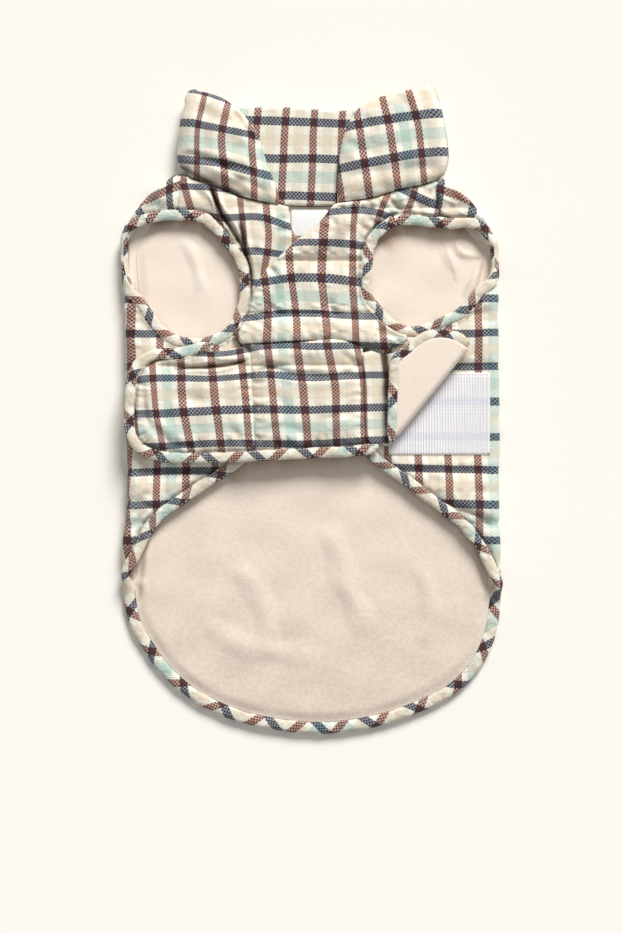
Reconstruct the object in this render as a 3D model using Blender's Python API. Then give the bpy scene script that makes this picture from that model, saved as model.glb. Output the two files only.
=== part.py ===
"""Quilted dog coat with a tall folded collar, laid flat with its belly side up.

Millimetres in the tables and functions, metres in the meshes. +Z is up, +Y runs
to the collar, +X to the viewer's right. The back panel lies on the surface, its
sides turn up and over as two wings, and chest, belly band and flaps lie on them.

A sheet of cloth is first a flat pattern, an outline in u and y. A surface then
says where each pattern point lies and which way its outer side faces, so that a
sheet that turns over at a fold stays one solid of even thickness.
"""

import math

import bpy
import numpy as np
from mathutils import Vector
from mathutils.geometry import delaunay_2d_cdt

for old in list(bpy.data.objects):
    bpy.data.objects.remove(old, do_unlink=True)
bpy.context.scene.unit_settings.system = "METRIC"
bpy.context.scene.unit_settings.scale_length = 1.0

MM = 0.001

# ---- driving sizes, mm -------------------------------------------------------
GAP = 0.4                 # left between neighbouring pieces
BACK_THICK = 4.0          # padded back, lying on the surface
LINING_THICK = 0.9        # fleece sheet on the inside of the back
STITCH_THICK = 1.8        # padded cloth pressed together by a quilting line
PUFF_THICK = 5.0          # padded cloth between two quilting lines
FOLD_INSIDE = 2.5         # inner radius where a side turns over
FOLD_ARC = 12.0           # pattern width that the turn takes up
QUILT_PITCH = 34.0        # between two quilting lines
QUILT_START = 97.0        # y of the first quilting line
BAND_LEVEL = 15.6         # inside of belly band and flaps above the surface
BAND_PUFF = 6.0
BAND_SAG = 1.6
BAND_QUILT = 29.0         # y of the quilting line on belly and left flap
CHEST_RAMP = 75.0         # y below which the chest rises to the band
CHEST_LEVEL = BACK_THICK + 2 * FOLD_INSIDE
TUCK_RISE = 3.0           # right chest over left chest at the V
COLLAR_THICK = 8.5
COLLAR_EDGE = 3.4
COLLAR_ARC = 15.0
BIAS_HALF_WIDTH = 3.6     # bias binding round the armholes and wings
BIAS_HALF_HEIGHT = 2.5
BIAS_LIFT = 1.9
HEM_HALF_WIDTH = 4.0
TAPE_THICK = 1.2
TAPE_PRESSED = 3.2        # padding under the tape, pressed by its stitching
LABEL_THICK = 0.6
FLAP_THICK = 3.2
FLAP_ARC = 8.0
FLAP_INSIDE = 0.6
TURN_STEPS = (0, 0.2, 0.4, 0.6, 0.8, 1)   # where a fold's turn gets points

# ---- pattern tables, mm ------------------------------------------------------
# Outermost points of the two side folds from shoulder to hem: y, x
SIDE_LEFT = [
    (155.5, -86.5), (147.5, -95), (140.5, -104.5), (130.5, -113), (121.5, -120),
    (111, -123), (97, -123), (72, -121), (46, -119.5), (7, -120), (-25.5, -119),
    (-58, -118.5), (-74, -120.5), (-93.5, -122.5), (-116.5, -123), (-149, -123),
]
SIDE_RIGHT = [
    (150, 86), (146, 94), (139, 100), (132.5, 106.5), (121, 115), (108, 121),
    (91.5, 121.5), (59, 121), (30, 121.5), (-19, 122), (-58, 121.5), (-77.5, 122),
    (-97, 123), (-123, 125), (-149, 125),
]
# Outermost points of the collar's two folds: y, x
COLLAR_LEFT = [
    (215, -81), (206.5, -82), (186, -84.5), (164.5, -87), (153.5, -87.5),
]
COLLAR_RIGHT = [
    (215, 80), (208.5, 82), (192.5, 85), (176, 88), (163, 89), (147, 89.5),
]

# Middle lines of the bindings: x, y, turn. turn is 0 on the lower layer, 1 on
# the upper one, and between them on the fold, where x follows from the fold.
ARM_LEFT = [
    (-107, 124, 1), (-98, 126, 1), (-86.5, 126.5, 1), (-75, 126, 1), (-67, 123.5, 1),
    (-60, 117, 1), (-53.5, 109, 1), (-48, 102, 1), (-44, 93.5, 1), (-42.5, 82, 1),
    (-44, 67, 1), (-49, 56.5, 1), (-55, 49, 1), (-65.5, 44.5, 1), (-77.5, 43.5, 1),
    (-88, 45.5, 1), (-97, 51.5, 1), (-103.5, 59, 1), (-109, 68, 1), (0, 77.5, 0.82),
    (0, 87, 0.6), (0, 99.5, 0.5), (0, 111, 0.55), (0, 119, 0.8),
]
ARM_RIGHT = [
    (54.5, 123, 1), (64.5, 123.5, 1), (77.5, 122, 1), (91.5, 121, 1), (102, 121.5, 1),
    (110, 119, 1), (0, 112.5, 0.8), (0, 103.5, 0.6), (0, 93, 0.6), (0, 84, 0.82),
    (108.5, 76, 1), (104.5, 71, 1), (97, 63, 1), (87, 58, 1), (77.5, 54, 1), (68, 51, 1),
    (59, 52, 1), (50, 57, 1), (41.5, 66.5, 1), (36.5, 74, 1), (36, 85, 1), (36.5, 99.5, 1),
    (39, 108.5, 1), (45.5, 117.5, 1),
]
HEM = [
    (-39, 37.5, 1), (-34.5, 23.5, 1), (-33, 4, 1), (-37, -15.5, 1), (-44, -29, 1),
    (-53.5, -37.5, 1), (-67, -46, 1), (-79.5, -54.5, 1), (-92.5, -63, 1), (-102, -72, 1),
    (-108, -82, 1), (-112.5, -91.5, 1), (0, -101, 0.85), (0, -108.5, 0.5),
    (0, -116.5, 0.15), (-117, -125.5, 0), (-114.5, -136, 0), (-109, -147, 0),
    (-95.5, -166.5, 0), (-76.5, -183.5, 0), (-51.5, -196, 0), (-26, -202.5, 0),
    (9, -205.5, 0), (47.5, -199.5, 0), (82, -186, 0), (99, -173.5, 0), (110.5, -158, 0),
    (116.5, -142.5, 0), (118.5, -129.5, 0), (0, -121.5, 0.15), (0, -115, 0.5),
    (0, -107, 0.85), (114.5, -97, 1), (109, -86.5, 1), (101, -76, 1), (93.5, -69, 1),
    (82, -60.5, 1), (71.5, -52.5, 1), (62, -45, 1), (50, -37, 1), (41, -30, 1),
    (32, -20, 1), (26.5, -2.5, 1), (26, 17, 1), (30.5, 36.5, 1), (36, 49.5, 1),
]
BAND = [
    (-88, 36.5), (-96, 36.5), (-104.5, 34.5), (-112, 28.5), (-115.5, 19), (-116.5, 7),
    (-116.5, -11), (-113, -21), (-106, -26.5), (-91.5, -30), (-72, -30.5), (-52.5, -30),
    (-33, -29), (-13.5, -28), (6, -27), (22, -26.5), (36, -25), (43.5, -23),
]

# Seams and free edges of the upper pieces: x, y
SHOULDER_LEFT = [
    (-84, 152), (-84.5, 145.5), (-85.5, 138.5), (-86.5, 130.5),
]
SHOULDER_RIGHT = [
    (83, 147.5), (80.5, 143.5), (81, 138.5), (83, 128),
]
V_LEFT = [
    (-14.5, 132), (-13.5, 123), (-11.5, 115.5), (-7, 110), (-3, 105.5), (-12.5, 97),
    (-23, 87), (-28.5, 77.5), (-32.5, 69),
]
V_RIGHT = [
    (14.5, 133), (7, 123.5), (2, 118.5), (-8, 111), (-18, 102), (-30, 90.5), (-36, 80),
    (-39, 71),
]
CHEST_HEM = [
    (-44, 42), (-26.5, 43), (-7, 44), (9, 46), (19.5, 45.5), (32, 41.5), (48, 39),
    (56.5, 41.5), (63, 45),
]
BELLY_LEFT = [
    (-39, 39.5), (-38.5, 26.5), (-37.5, 7), (-36.5, -12.5), (-36, -25.5),
]
BELLY_RIGHT = [
    (33, 39.5), (34, 20), (34.5, 0.5), (35.5, -22),
]
FLAP_LEFT_TOP = [
    (-80.5, 36), (-72, 37.5), (-59, 38.5), (-43, 41),
]
FLAP_RIGHT_TOP = [
    (38.5, 38.5), (49, 36.5), (56.5, 38.5), (65.5, 41.5), (77.5, 42), (90.5, 41), (98, 39),
]

# The right flap turns back along a straight line from its hem to its top
TURN_LOW = (49, -27.5)
TURN_HIGH = (104.5, 41)
# Free edge of the turned corner, from the hem round to the top: x, y
TURNED_EDGE = [
    (49.5, -24.5), (52, -17.5), (52.5, -6), (53, 7), (53.5, 20), (54, 29), (57, 34.5),
    (62, 38.5), (68, 43.5), (76, 48), (87, 49), (95.5, 46), (101.5, 42),
]

# Collar, seen from above: front halves folded over the back between them: x, y
COLLAR_WING_L = [
    (-20.5, 134), (-21, 140.5), (-24, 149), (-28, 158.5), (-32.5, 173), (-37, 182.5),
    (-45, 193), (-52.5, 199), (-58, 202.5), (-67, 205.5), (-75.5, 207),
]
COLLAR_BACK_TOP = [
    (-72, 200), (-51.5, 197.5), (-33, 196.5), (-13.5, 196.5), (6, 195), (22, 194.5),
    (48, 197), (71, 201.5),
]
COLLAR_WING_R = [
    (73.5, 208.5), (61, 207), (45, 203), (33, 197.5), (26, 189), (21, 177.5), (18, 163),
    (17, 150), (17, 134.5),
]
COLLAR_HEM_R = [
    (17, 134.5), (25.5, 135.5), (41.5, 138.5), (58, 143.5), (71, 146), (79.5, 149),
    (84, 151.5),
]
COLLAR_HEM_BACK = [
    (86, 151), (79.5, 147.5), (58, 143), (41.5, 138), (25.5, 134.5), (13.5, 133),
    (-15, 133), (-32, 135.5), (-49.5, 140.5), (-69, 147), (-77.5, 150), (-82.5, 154),
]
COLLAR_HEM_L = [
    (-81, 154.5), (-77.5, 151), (-69, 148), (-59, 144.5), (-43, 138), (-30, 135),
    (-20.5, 134),
]

# Hook tape on the right wing and the blank label on the lining: x0, y0, x1, y1
TAPE = (56.5, -28.5, 115.5, 24.5)
LABEL = (-13, 113, 11, 130.5)


# ---- curves in the pattern ---------------------------------------------------
def curve(rows, closed=False, step=5.5):
    """Smooth curve through the rows, as points about step mm apart."""
    pts = np.array(rows, float)
    n = len(pts)
    if closed:
        before, after = pts[-1:], pts[:2]
    else:
        before, after = 2 * pts[:1] - pts[1:2], np.vstack([2 * pts[-1] - pts[-2], pts[-1]])
    padded = np.vstack([before, pts, after])
    fine = []
    for i in range(n if closed else n - 1):
        a, b, c, d = padded[i:i + 4]
        t = np.linspace(0, 1, 16, endpoint=False)[:, None]
        fine.append(0.5 * (2 * b + (c - a) * t + (2 * a - 5 * b + 4 * c - d) * t ** 2
                           + (3 * b - a - 3 * c + d) * t ** 3))
    fine = np.vstack(fine + [pts[:1] if closed else pts[-1:]])
    return resample(fine, step, closed)


def resample(line, step, closed=False):
    length = np.concatenate([[0], np.cumsum(np.linalg.norm(np.diff(line, axis=0), axis=1))])
    count = max(2, round(length[-1] / step) + 1)
    at = np.linspace(0, length[-1], count)
    out = np.column_stack([np.interp(at, length, line[:, k]) for k in range(line.shape[1])])
    return out[:-1] if closed else out


def offset(line, amount, closed=False):
    """The line moved sideways in the pattern: left of its direction when amount > 0."""
    if closed:
        along = np.roll(line, -1, 0) - np.roll(line, 1, 0)
    else:
        along = np.gradient(line, axis=0)
    along = along / np.linalg.norm(along, axis=1)[:, None]
    moved = line + amount * np.column_stack([-along[:, 1], along[:, 0]])
    keep = distance(moved, line, closed) > abs(amount) * 0.97
    return moved[keep]


def outward(loop):
    """+1 where left of the loop's direction is outside it."""
    x, y = loop[:, 0], loop[:, 1]
    return -1 if np.sum(x * np.roll(y, -1) - y * np.roll(x, -1)) > 0 else 1


def nearest(line, point):
    return int(np.argmin(np.linalg.norm(line - np.array(point), axis=1)))


def portion(line, start, end, via=None):
    """Part of the line between two points; via picks the way round a closed loop."""
    i, j = nearest(line, start), nearest(line, end)
    if via is None:
        return line[i:j + 1] if i <= j else line[j:i + 1][::-1]
    n = len(line)
    ahead = line[[(i + k) % n for k in range((j - i) % n + 1)]]
    back = line[[(i - k) % n for k in range((i - j) % n + 1)]]
    gaps = [np.min(np.linalg.norm(way - np.array(via), axis=1)) for way in (ahead, back)]
    return ahead if gaps[0] < gaps[1] else back


def distance(points, line, closed=False):
    """Distance of each point to the polyline."""
    ends = np.roll(line, -1, 0) if closed else line[1:]
    starts = line if closed else line[:-1]
    best = np.full(len(points), np.inf)
    for a, b in zip(starts, ends):
        ab = b - a
        t = np.clip(((points - a) @ ab) / max(ab @ ab, 1e-12), 0, 1)
        best = np.minimum(best, np.linalg.norm(points - a - t[:, None] * ab, axis=1))
    return best


def inside(points, loop):
    hit = np.zeros(len(points), bool)
    for a, b in zip(loop, np.roll(loop, -1, 0)):
        crosses = (a[1] > points[:, 1]) != (b[1] > points[:, 1])
        x = a[0] + (points[:, 1] - a[1]) / ((b[1] - a[1]) or 1e-12) * (b[0] - a[0])
        hit ^= crosses & (points[:, 0] < x)
    return hit


def smooth(t):
    t = np.clip(t, 0, 1)
    return t * t * (3 - 2 * t)


def dome(t):
    return np.sqrt(1 - (1 - np.clip(t, 0, 1)) ** 2)


# ---- surfaces: pattern point -> place and outer direction --------------------
class Wrap:
    """A layer that turns up at its left and right sides and lies back on itself."""

    def __init__(self, left, right, bottom, inner, thick, arc, tip_y):
        self.left, self.right = np.array(left, float), np.array(right, float)
        self.low, self.inner, self.thick, self.arc, self.tip_y = bottom, inner, thick, arc, tip_y

    def narrow(self, y, side):
        """The turn gets slimmer towards the shoulder's tip."""
        return 0.2 + 0.8 * smooth((self.tip_y[side > 0] - y) / 24)

    def fold(self, y, side):
        table = self.left if side < 0 else self.right
        order = np.argsort(table[:, 0])
        edge = np.interp(y, table[order, 0], table[order, 1])
        return edge - side * (self.inner + self.thick) * self.narrow(y, side)

    def unfold(self, x, y, turn):
        side = -1 if x < 0 else 1
        fold = self.fold(y, side)
        if turn == 0:
            return x
        if turn == 1:
            return fold + side * self.arc + (fold - x)
        return fold + side * turn * self.arc

    def rows(self, table, side=None):
        """Table rows of x, y, turn as pattern points; a row on a fold takes the side before it."""
        out, last = [], -1
        for x, y, turn in table:
            if turn in (0, 1):
                last = -1 if x < 0 else 1
            way = side or last
            out.append((self.unfold(x if turn in (0, 1) else way, y, turn), y))
        return out

    def place(self, uv):
        u, y = uv[:, 0], uv[:, 1]
        centre = self.low + self.thick + self.inner
        x, z = u.copy(), np.full(len(u), centre - self.inner)
        nx, nz = np.zeros(len(u)), -np.ones(len(u))
        for side in (-1, 1):
            fold = self.fold(y, side)
            turn = side * (u - fold) / self.arc
            angle = math.pi * np.clip(turn, 0, 1)
            slim = self.narrow(y, side)
            over = turn > 0
            sine, cosine = np.sin(angle) * side * slim, np.cos(angle)
            x = np.where(over, fold + self.inner * sine - side * np.maximum(turn - 1, 0) * self.arc, x)
            z = np.where(over, centre - self.inner * cosine, z)
            nx, nz = np.where(over, sine, nx), np.where(over, -cosine, nz)
        return np.column_stack([x, y, z]), np.column_stack([nx, np.zeros(len(u)), nz])

    def turn_points(self, lo, hi):
        """Pattern points along both folds, close enough for an even turn."""
        ys = np.arange(lo[1] + 5, hi[1], 10)
        lines = [np.column_stack([self.fold(ys, side) + side * turn * self.arc, ys])
                 for side in (-1, 1) for turn in TURN_STEPS]
        return np.vstack(lines)

    def turned(self, uv):
        """0 on the lower layer, 1 on the upper one."""
        best = np.zeros(len(uv))
        for side in (-1, 1):
            best = np.maximum(best, side * (uv[:, 0] - self.fold(uv[:, 1], side)) / self.arc)
        return np.clip(best, 0, 1)


class Drape:
    """A layer that lies at a height which changes from place to place."""

    def __init__(self, height):
        self.height = height

    def place(self, uv):
        up = np.tile([0.0, 0.0, 1.0], (len(uv), 1))
        return np.column_stack([uv, self.height(uv)]), up


class Corner:
    """A flap whose corner turns back along the straight line from low to high."""

    def __init__(self, low, high, level):
        self.origin = np.array(low, float)
        along = np.array(high, float) - self.origin
        self.along = along / np.linalg.norm(along)
        self.across = np.array([self.along[1], -self.along[0]])
        self.level = level

    def turn_points(self, lo, hi):
        """Pattern points along the straight fold."""
        along = np.arange(-10, 150, 9.0)
        fold = -(FLAP_INSIDE + FLAP_THICK)
        lines = [self.origin + along[:, None] * self.along + (fold + turn * FLAP_ARC) * self.across
                 for turn in TURN_STEPS[::2] + TURN_STEPS[-1:]]
        return np.vstack(lines)

    def local(self, points):
        rel = np.asarray(points, float) - self.origin
        return np.column_stack([rel @ self.along, rel @ self.across])

    def unfold(self, points):
        """Pattern points of places seen on the turned corner."""
        loc = self.local(points)
        fold = -(FLAP_INSIDE + FLAP_THICK)
        across = fold + FLAP_ARC + (fold - loc[:, 1])
        return self.origin + loc[:, :1] * self.along + across[:, None] * self.across

    def place(self, uv):
        loc = self.local(uv)
        fold = -(FLAP_INSIDE + FLAP_THICK)
        turn = (loc[:, 1] - fold) / FLAP_ARC
        angle = math.pi * np.clip(turn, 0, 1)
        across = np.where(turn > 0, fold + FLAP_INSIDE * np.sin(angle)
                          - np.maximum(turn - 1, 0) * FLAP_ARC, loc[:, 1])
        z = self.level(uv) + FLAP_THICK + FLAP_INSIDE - FLAP_INSIDE * np.cos(angle)
        flat = self.origin + loc[:, :1] * self.along + across[:, None] * self.across
        out = np.sin(angle)[:, None] * self.across
        return np.column_stack([flat, z]), np.column_stack([out, -np.cos(angle)])


# ---- solids ------------------------------------------------------------------
def finish(name, verts, faces, colour):
    mesh = bpy.data.meshes.new(name)
    mesh.from_pydata([tuple(v * MM) for v in verts], [], faces)
    mesh.validate()
    mesh.calc_loop_triangles()
    volume = 0.0
    for tri in mesh.loop_triangles:
        a, b, c = (mesh.vertices[i].co for i in tri.vertices)
        volume += a.dot(b.cross(c))
    if volume < 0:
        mesh.flip_normals()
    mesh.shade_smooth()
    mesh.set_sharp_from_angle(angle=math.radians(50))
    material = bpy.data.materials.new(name)
    material.use_nodes = True
    shader = material.node_tree.nodes["Principled BSDF"]
    shader.inputs["Base Color"].default_value = (*colour, 1)
    shader.inputs["Roughness"].default_value = 0.85
    mesh.materials.append(material)
    obj = bpy.data.objects.new(name, mesh)
    bpy.context.scene.collection.objects.link(obj)
    return obj


def sheet(name, surface, outline, low, high, grid, colour, rings=(3.2,), also=None):
    """Closed sheet of cloth over the outline, from height low to height high."""
    loop = outline[np.linalg.norm(outline - np.roll(outline, 1, 0), axis=1) > 0.4]
    lo, hi = loop.min(0), loop.max(0)
    dx, dy = grid
    rows = []
    first = QUILT_START + math.ceil((lo[1] - QUILT_START) / dy) * dy
    for k, y in enumerate(np.arange(first, hi[1], dy)):
        xs = np.arange(lo[0] + (dx / 2 if k % 2 else 0), hi[0], dx)
        rows.append(np.column_stack([xs, np.full(len(xs), y)]))
    cloud = np.vstack(rows)
    if hasattr(surface, "turn_points"):
        turns = surface.turn_points(lo, hi)
        apart = np.array([np.min(np.linalg.norm(turns - p, axis=1)) for p in cloud])
        cloud = np.vstack([cloud[apart > 5], turns])
    if also is not None:
        apart = np.array([np.min(np.linalg.norm(also - p, axis=1)) for p in cloud])
        cloud = np.vstack([cloud[apart > 4], also])
    far = distance(cloud, loop, True)
    cloud = cloud[inside(cloud, loop) & (far > rings[-1] + 2)]
    extra = []
    for ring in rings:
        moved = offset(loop, -outward(loop) * ring, True)
        moved = moved[inside(moved, loop) & (distance(moved, loop, True) > ring * 0.9)]
        extra.append(moved)
    points = np.vstack([loop, cloud] + extra)
    n = len(loop)
    border = [(i, (i + 1) % n) for i in range(n)]
    found = delaunay_2d_cdt([Vector(p) for p in points], border, [list(range(n))], 1, 1e-5)
    flat = np.array([tuple(v) for v in found[0]])
    tris = [tuple(f) for f in found[2]]
    used = sorted({i for t in tris for i in t})
    where = {old: new for new, old in enumerate(used)}
    flat = flat[used]
    tris = [tuple(where[i] for i in t) for t in tris]
    place, out = surface.place(flat)
    edge = distance(flat, loop, True)
    top = place + high(flat, edge)[:, None] * out
    base = place + low(flat, edge)[:, None] * out
    m = len(flat)
    faces = [t for t in tris] + [tuple(i + m for i in reversed(t)) for t in tris]
    seen = {(t[k], t[(k + 1) % 3]) for t in tris for k in range(3)}
    for a, b in sorted(seen):
        if (b, a) not in seen:
            faces.append((b, a, a + m, b + m))
    return finish(name, np.vstack([top, base]), faces, colour)


def bead(name, surface, path, closed, colour, half_width=BIAS_HALF_WIDTH, lift=BIAS_LIFT, sides=6):
    """Folded bias strip over a raw edge: a rounded flat section swept along the path."""
    place, out = surface.place(path)
    if callable(lift):
        lift = lift(path)
    centre = place + np.reshape(lift, (-1, 1)) * out
    if closed:
        along = np.roll(centre, -1, 0) - np.roll(centre, 1, 0)
    else:
        along = np.gradient(centre, axis=0)
    along /= np.linalg.norm(along, axis=1)[:, None]
    across = np.cross(along, out)
    across /= np.linalg.norm(across, axis=1)[:, None]
    out = np.cross(across, along)
    width = half_width(path) if callable(half_width) else np.full(len(path), half_width)
    verts = []
    for k in range(sides):
        a = 2 * math.pi * (k + 0.5) / sides
        c, s = math.cos(a), math.sin(a)
        c, s = math.copysign(abs(c) ** 0.8, c), math.copysign(abs(s) ** 0.8, s)
        verts.append(centre + width[:, None] * c * across + BIAS_HALF_HEIGHT * s * out)
    n = len(path)
    verts = np.stack(verts, 1).reshape(-1, 3)
    faces = []
    for i in range(n if closed else n - 1):
        j = (i + 1) % n
        for k in range(sides):
            m = (k + 1) % sides
            faces.append((i * sides + k, i * sides + m, j * sides + m, j * sides + k))
    if not closed:
        faces.append(tuple(range(sides))[::-1])
        faces.append(tuple((n - 1) * sides + k for k in range(sides)))
    return finish(name, verts, faces, colour)


# ---- the coat ----------------------------------------------------------------
PLAID = (0.62, 0.52, 0.44)
BIAS = (0.42, 0.30, 0.28)
FLEECE = (0.80, 0.69, 0.58)
PALE = (0.82, 0.82, 0.84)

BACK = Wrap(SIDE_LEFT, SIDE_RIGHT, 0, FOLD_INSIDE, BACK_THICK, FOLD_ARC, (152.0, 148.0))
COLLAR = Wrap(COLLAR_LEFT, COLLAR_RIGHT, 0, 0.4, COLLAR_THICK, COLLAR_ARC, (500, 500))
clear = BIAS_HALF_WIDTH + 0.6


def seen(points):
    """Places on the upper layer as pattern points of the back."""
    return np.array([(BACK.unfold(x, y, 1), y) for x, y in np.array(points, float)[:, :2]])


def in_view(points):
    """Pattern points of the back as places."""
    return BACK.place(np.array(points))[0][:, :2]


def beside(path, amount, closed=False):
    """Edge of the cloth beside a binding, as far from the binding's middle line in space as asked."""
    if closed:
        along = np.roll(path, -1, 0) - np.roll(path, 1, 0)
    else:
        along = np.gradient(path, axis=0)
    along = along / np.linalg.norm(along, axis=1)[:, None]
    side = (outward(path) if closed else 1) * np.column_stack([-along[:, 1], along[:, 0]])
    middle = np.add(*BACK.place(path))
    chosen = np.full((len(path), 2), np.nan)
    for reach in np.arange(amount, amount + 9, 0.3):
        moved = path + reach * side
        spot = np.add(*BACK.place(moved))
        gap = np.array([np.min(np.linalg.norm(middle - p, axis=1)) for p in spot])
        turn = BACK.turned(moved)
        wanted = amount + 0.9 * ((turn > 0.02) & (turn < 0.98))
        fits = np.isnan(chosen[:, 0]) & (gap >= wanted - 0.02)
        chosen[fits] = moved[fits]
    chosen = chosen[~np.isnan(chosen[:, 0])]
    return resample(np.vstack([chosen, chosen[:1]]) if closed else chosen, 5.0, closed)


arm_left = curve(BACK.rows(ARM_LEFT), True, 5.0)
arm_right = curve(BACK.rows(ARM_RIGHT), True, 5.0)
hem = curve(BACK.rows(HEM))
band = curve(BAND)
arm_left_edge = beside(curve(BACK.rows(ARM_LEFT), True, 1.0), clear, True)
arm_right_edge = beside(curve(BACK.rows(ARM_RIGHT), True, 1.0), clear, True)
hem_edge = beside(curve(BACK.rows(HEM), False, 1.5), HEM_HALF_WIDTH + 0.6)
band_edge = offset(band, clear)
neck_front_left = offset(curve(COLLAR_HEM_L), -GAP)
neck_front_right = offset(curve(COLLAR_HEM_R), -GAP)
neck_back = offset(curve(COLLAR_HEM_BACK), GAP)[::-1]


def quilted(uv, edge, reach=13):
    """1 between quilting lines, 0 on them and at the edge."""
    line = np.abs((uv[:, 1] - QUILT_START + QUILT_PITCH / 2) % QUILT_PITCH - QUILT_PITCH / 2)
    return dome(np.minimum(edge, line) / reach)


def flat(height):
    return lambda uv, edge: np.full(len(uv), float(height))


def box_distance(points, box):
    x0, y0, x1, y1 = box
    return np.maximum(np.maximum(x0 - points[:, 0], points[:, 0] - x1),
                      np.maximum(y0 - points[:, 1], points[:, 1] - y1))


def back_high(uv, edge):
    turn = BACK.turned(uv)
    puff = STITCH_THICK + (PUFF_THICK - STITCH_THICK) * quilted(uv, edge)
    pressed = (1 - smooth((box_distance(in_view(uv), TAPE) - 2) / 6)) * smooth((turn - 0.6) / 0.3)
    puff = puff * (1 - pressed) + TAPE_PRESSED * pressed
    return BACK_THICK + (puff - BACK_THICK) * smooth(turn * 1.2 - 0.1)


def back_outline():
    shoulder_l = seen(curve(SHOULDER_LEFT) - [GAP, 0])
    shoulder_r = seen(curve(SHOULDER_RIGHT) + [GAP, 0])
    front_l, front_r = hem[0], hem[-1]
    around_l = portion(arm_left_edge, front_l, shoulder_l[-1], via=(arm_left[:, 0].max(), 105))
    around_r = portion(arm_right_edge, shoulder_r[-1], front_r, via=(arm_right[:, 0].min(), 105))
    low = hem_edge[(distance(hem_edge, arm_left, True) > clear + 2)
                   & (distance(hem_edge, arm_right, True) > clear + 2)]
    return np.vstack([neck_back, shoulder_r, around_r[1:], low[::-1], around_l[:-1], shoulder_l[::-1]])


def lining_outline():
    """Inside of the back from fold to fold, short of the hem binding."""
    lower = beside(curve(BACK.rows(HEM), False, 1.5), HEM_HALF_WIDTH + 1.4)
    lower = lower[BACK.turned(lower) < 0.02]
    left_x = lambda y: BACK.fold(y, -1) + 3.2 + 7.0 * smooth((y - 100) / 20)
    right_x = lambda y: BACK.fold(y, 1) - 3.2 - 7.0 * smooth((y - 100) / 20)
    top = offset(curve(COLLAR_HEM_BACK), GAP)[::-1]
    top = top[(top[:, 0] > left_x(top[:, 1]) + 2) & (top[:, 0] < right_x(top[:, 1]) - 2)]
    ys = np.arange(lower[0][1] + 4, top[0][1] - 2, 8)
    left = np.column_stack([left_x(ys), ys])
    ys = np.arange(lower[-1][1] + 4, top[-1][1] - 2, 8)
    right = np.column_stack([right_x(ys), ys])
    return np.vstack([top, right[::-1], lower[::-1], left])


def hem_lift(path):
    """The hem binding stays off the surface on the lower layer and hugs the turn at the sides."""
    turn = BACK.turned(path)
    return 1.2 + (BIAS_LIFT - 1.2) * smooth(turn) - 1.6 * np.sin(np.pi * np.clip(turn * 1.6, 0, 1)) ** 2


def hem_width(path):
    turn = BACK.turned(path)
    return HEM_HALF_WIDTH + (BIAS_HALF_WIDTH - HEM_HALF_WIDTH) * smooth(turn * 3)


# Chest, from the shoulder seams and the neck to the belly seam
arm_left_view = in_view(arm_left_edge)
arm_right_view = in_view(arm_right_edge)
v_right = curve(V_RIGHT)
chest_hem = curve(CHEST_HEM)
chest_right_outline = np.vstack([
    v_right,
    portion(arm_left_view, v_right[-1], chest_hem[0] + [-3, 5], via=(-44, 62))[1:],
    chest_hem,
    portion(arm_right_view, chest_hem[-1], (82, 126),
            via=arm_right_view[arm_right_view[:, 0].argmin()])[1:],
    (curve(SHOULDER_RIGHT) - [GAP, 0])[::-1],
    neck_front_right[::-1][2:],
])
chest_left_outline = np.vstack([
    neck_front_left[1:],
    curve(V_LEFT),
    portion(arm_left_view, (-39, 68), (-86, 129), via=arm_left_view[arm_left_view[:, 0].argmax()]),
    (curve(SHOULDER_LEFT) + [GAP, 0])[::-1],
])


def chest_left_high(uv, edge):
    cover = distance(uv, v_right)
    cover = np.where(inside(uv, chest_right_outline), 0, cover)
    full = STITCH_THICK + 3.0 * dome(edge / 11)
    return 2.3 + (full - 2.3) * smooth(cover / 9)


def chest_level(uv):
    """The chest rises over the left chest at the V and up to the band at its hem."""
    v_rise = TUCK_RISE * (1 - smooth((distance(uv, v_right) - 9) / 12))
    hem_rise = (band_level(uv) - CHEST_LEVEL) * smooth((CHEST_RAMP - uv[:, 1]) / 30)
    return CHEST_LEVEL + np.maximum(v_rise, hem_rise)


def chest_high(uv, edge):
    return STITCH_THICK + (BAND_PUFF - 0.6 - STITCH_THICK) * quilted(uv, edge)


def band_level(uv):
    """Level over the wings, sagging where only the belly lies below, and bending at the left side."""
    sag = BAND_SAG * np.cos(np.clip((uv[:, 0] + 3) / 52, -0.5, 0.5) * math.pi) ** 2
    past = np.clip(BACK.fold(uv[:, 1], -1) - uv[:, 0], 0, 9)
    return BAND_LEVEL - sag - 9.1 * (1 - np.sqrt(1 - (past / 9.5) ** 2))


def band_high(uv, edge):
    """Belly and left flap have one quilting line near their top edge."""
    line = np.abs(uv[:, 1] - BAND_QUILT)
    return STITCH_THICK + (BAND_PUFF - STITCH_THICK) * dome(np.minimum(edge, line) / 15)


belly_left, belly_right = curve(BELLY_LEFT), curve(BELLY_RIGHT)
seam_top = offset(chest_hem, -GAP)
belly_outline = np.vstack([
    portion(seam_top, belly_left[0], belly_right[0]),
    (belly_right - [GAP / 2, 0])[1:-1],
    portion(band_edge, belly_right[-1], belly_left[-1]),
    (belly_left + [GAP / 2, 0])[::-1][1:-1],
])
flap_left_outline = np.vstack([
    portion(band_edge, belly_left[-1] - [3, 0], band_edge[0]),
    curve(FLAP_LEFT_TOP),
    (belly_left - [GAP / 2, 0])[1:-1],
])

# Right flap with its turned-back corner
FLAP = Corner(TURN_LOW, TURN_HIGH, lambda uv: np.full(len(uv), BAND_LEVEL))
turned = curve(TURNED_EDGE)
turned_path = FLAP.unfold(turned)[2:]
turned_edge = FLAP.unfold(offset(turned, -clear))
flap_right_outline = np.vstack([
    curve(FLAP_RIGHT_TOP)[::-1],
    (belly_right + [GAP / 2, 0])[1:-1],
    portion(band_edge, belly_right[-1] + [3, 0], band_edge[-1]),
    turned_edge,
])


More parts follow.
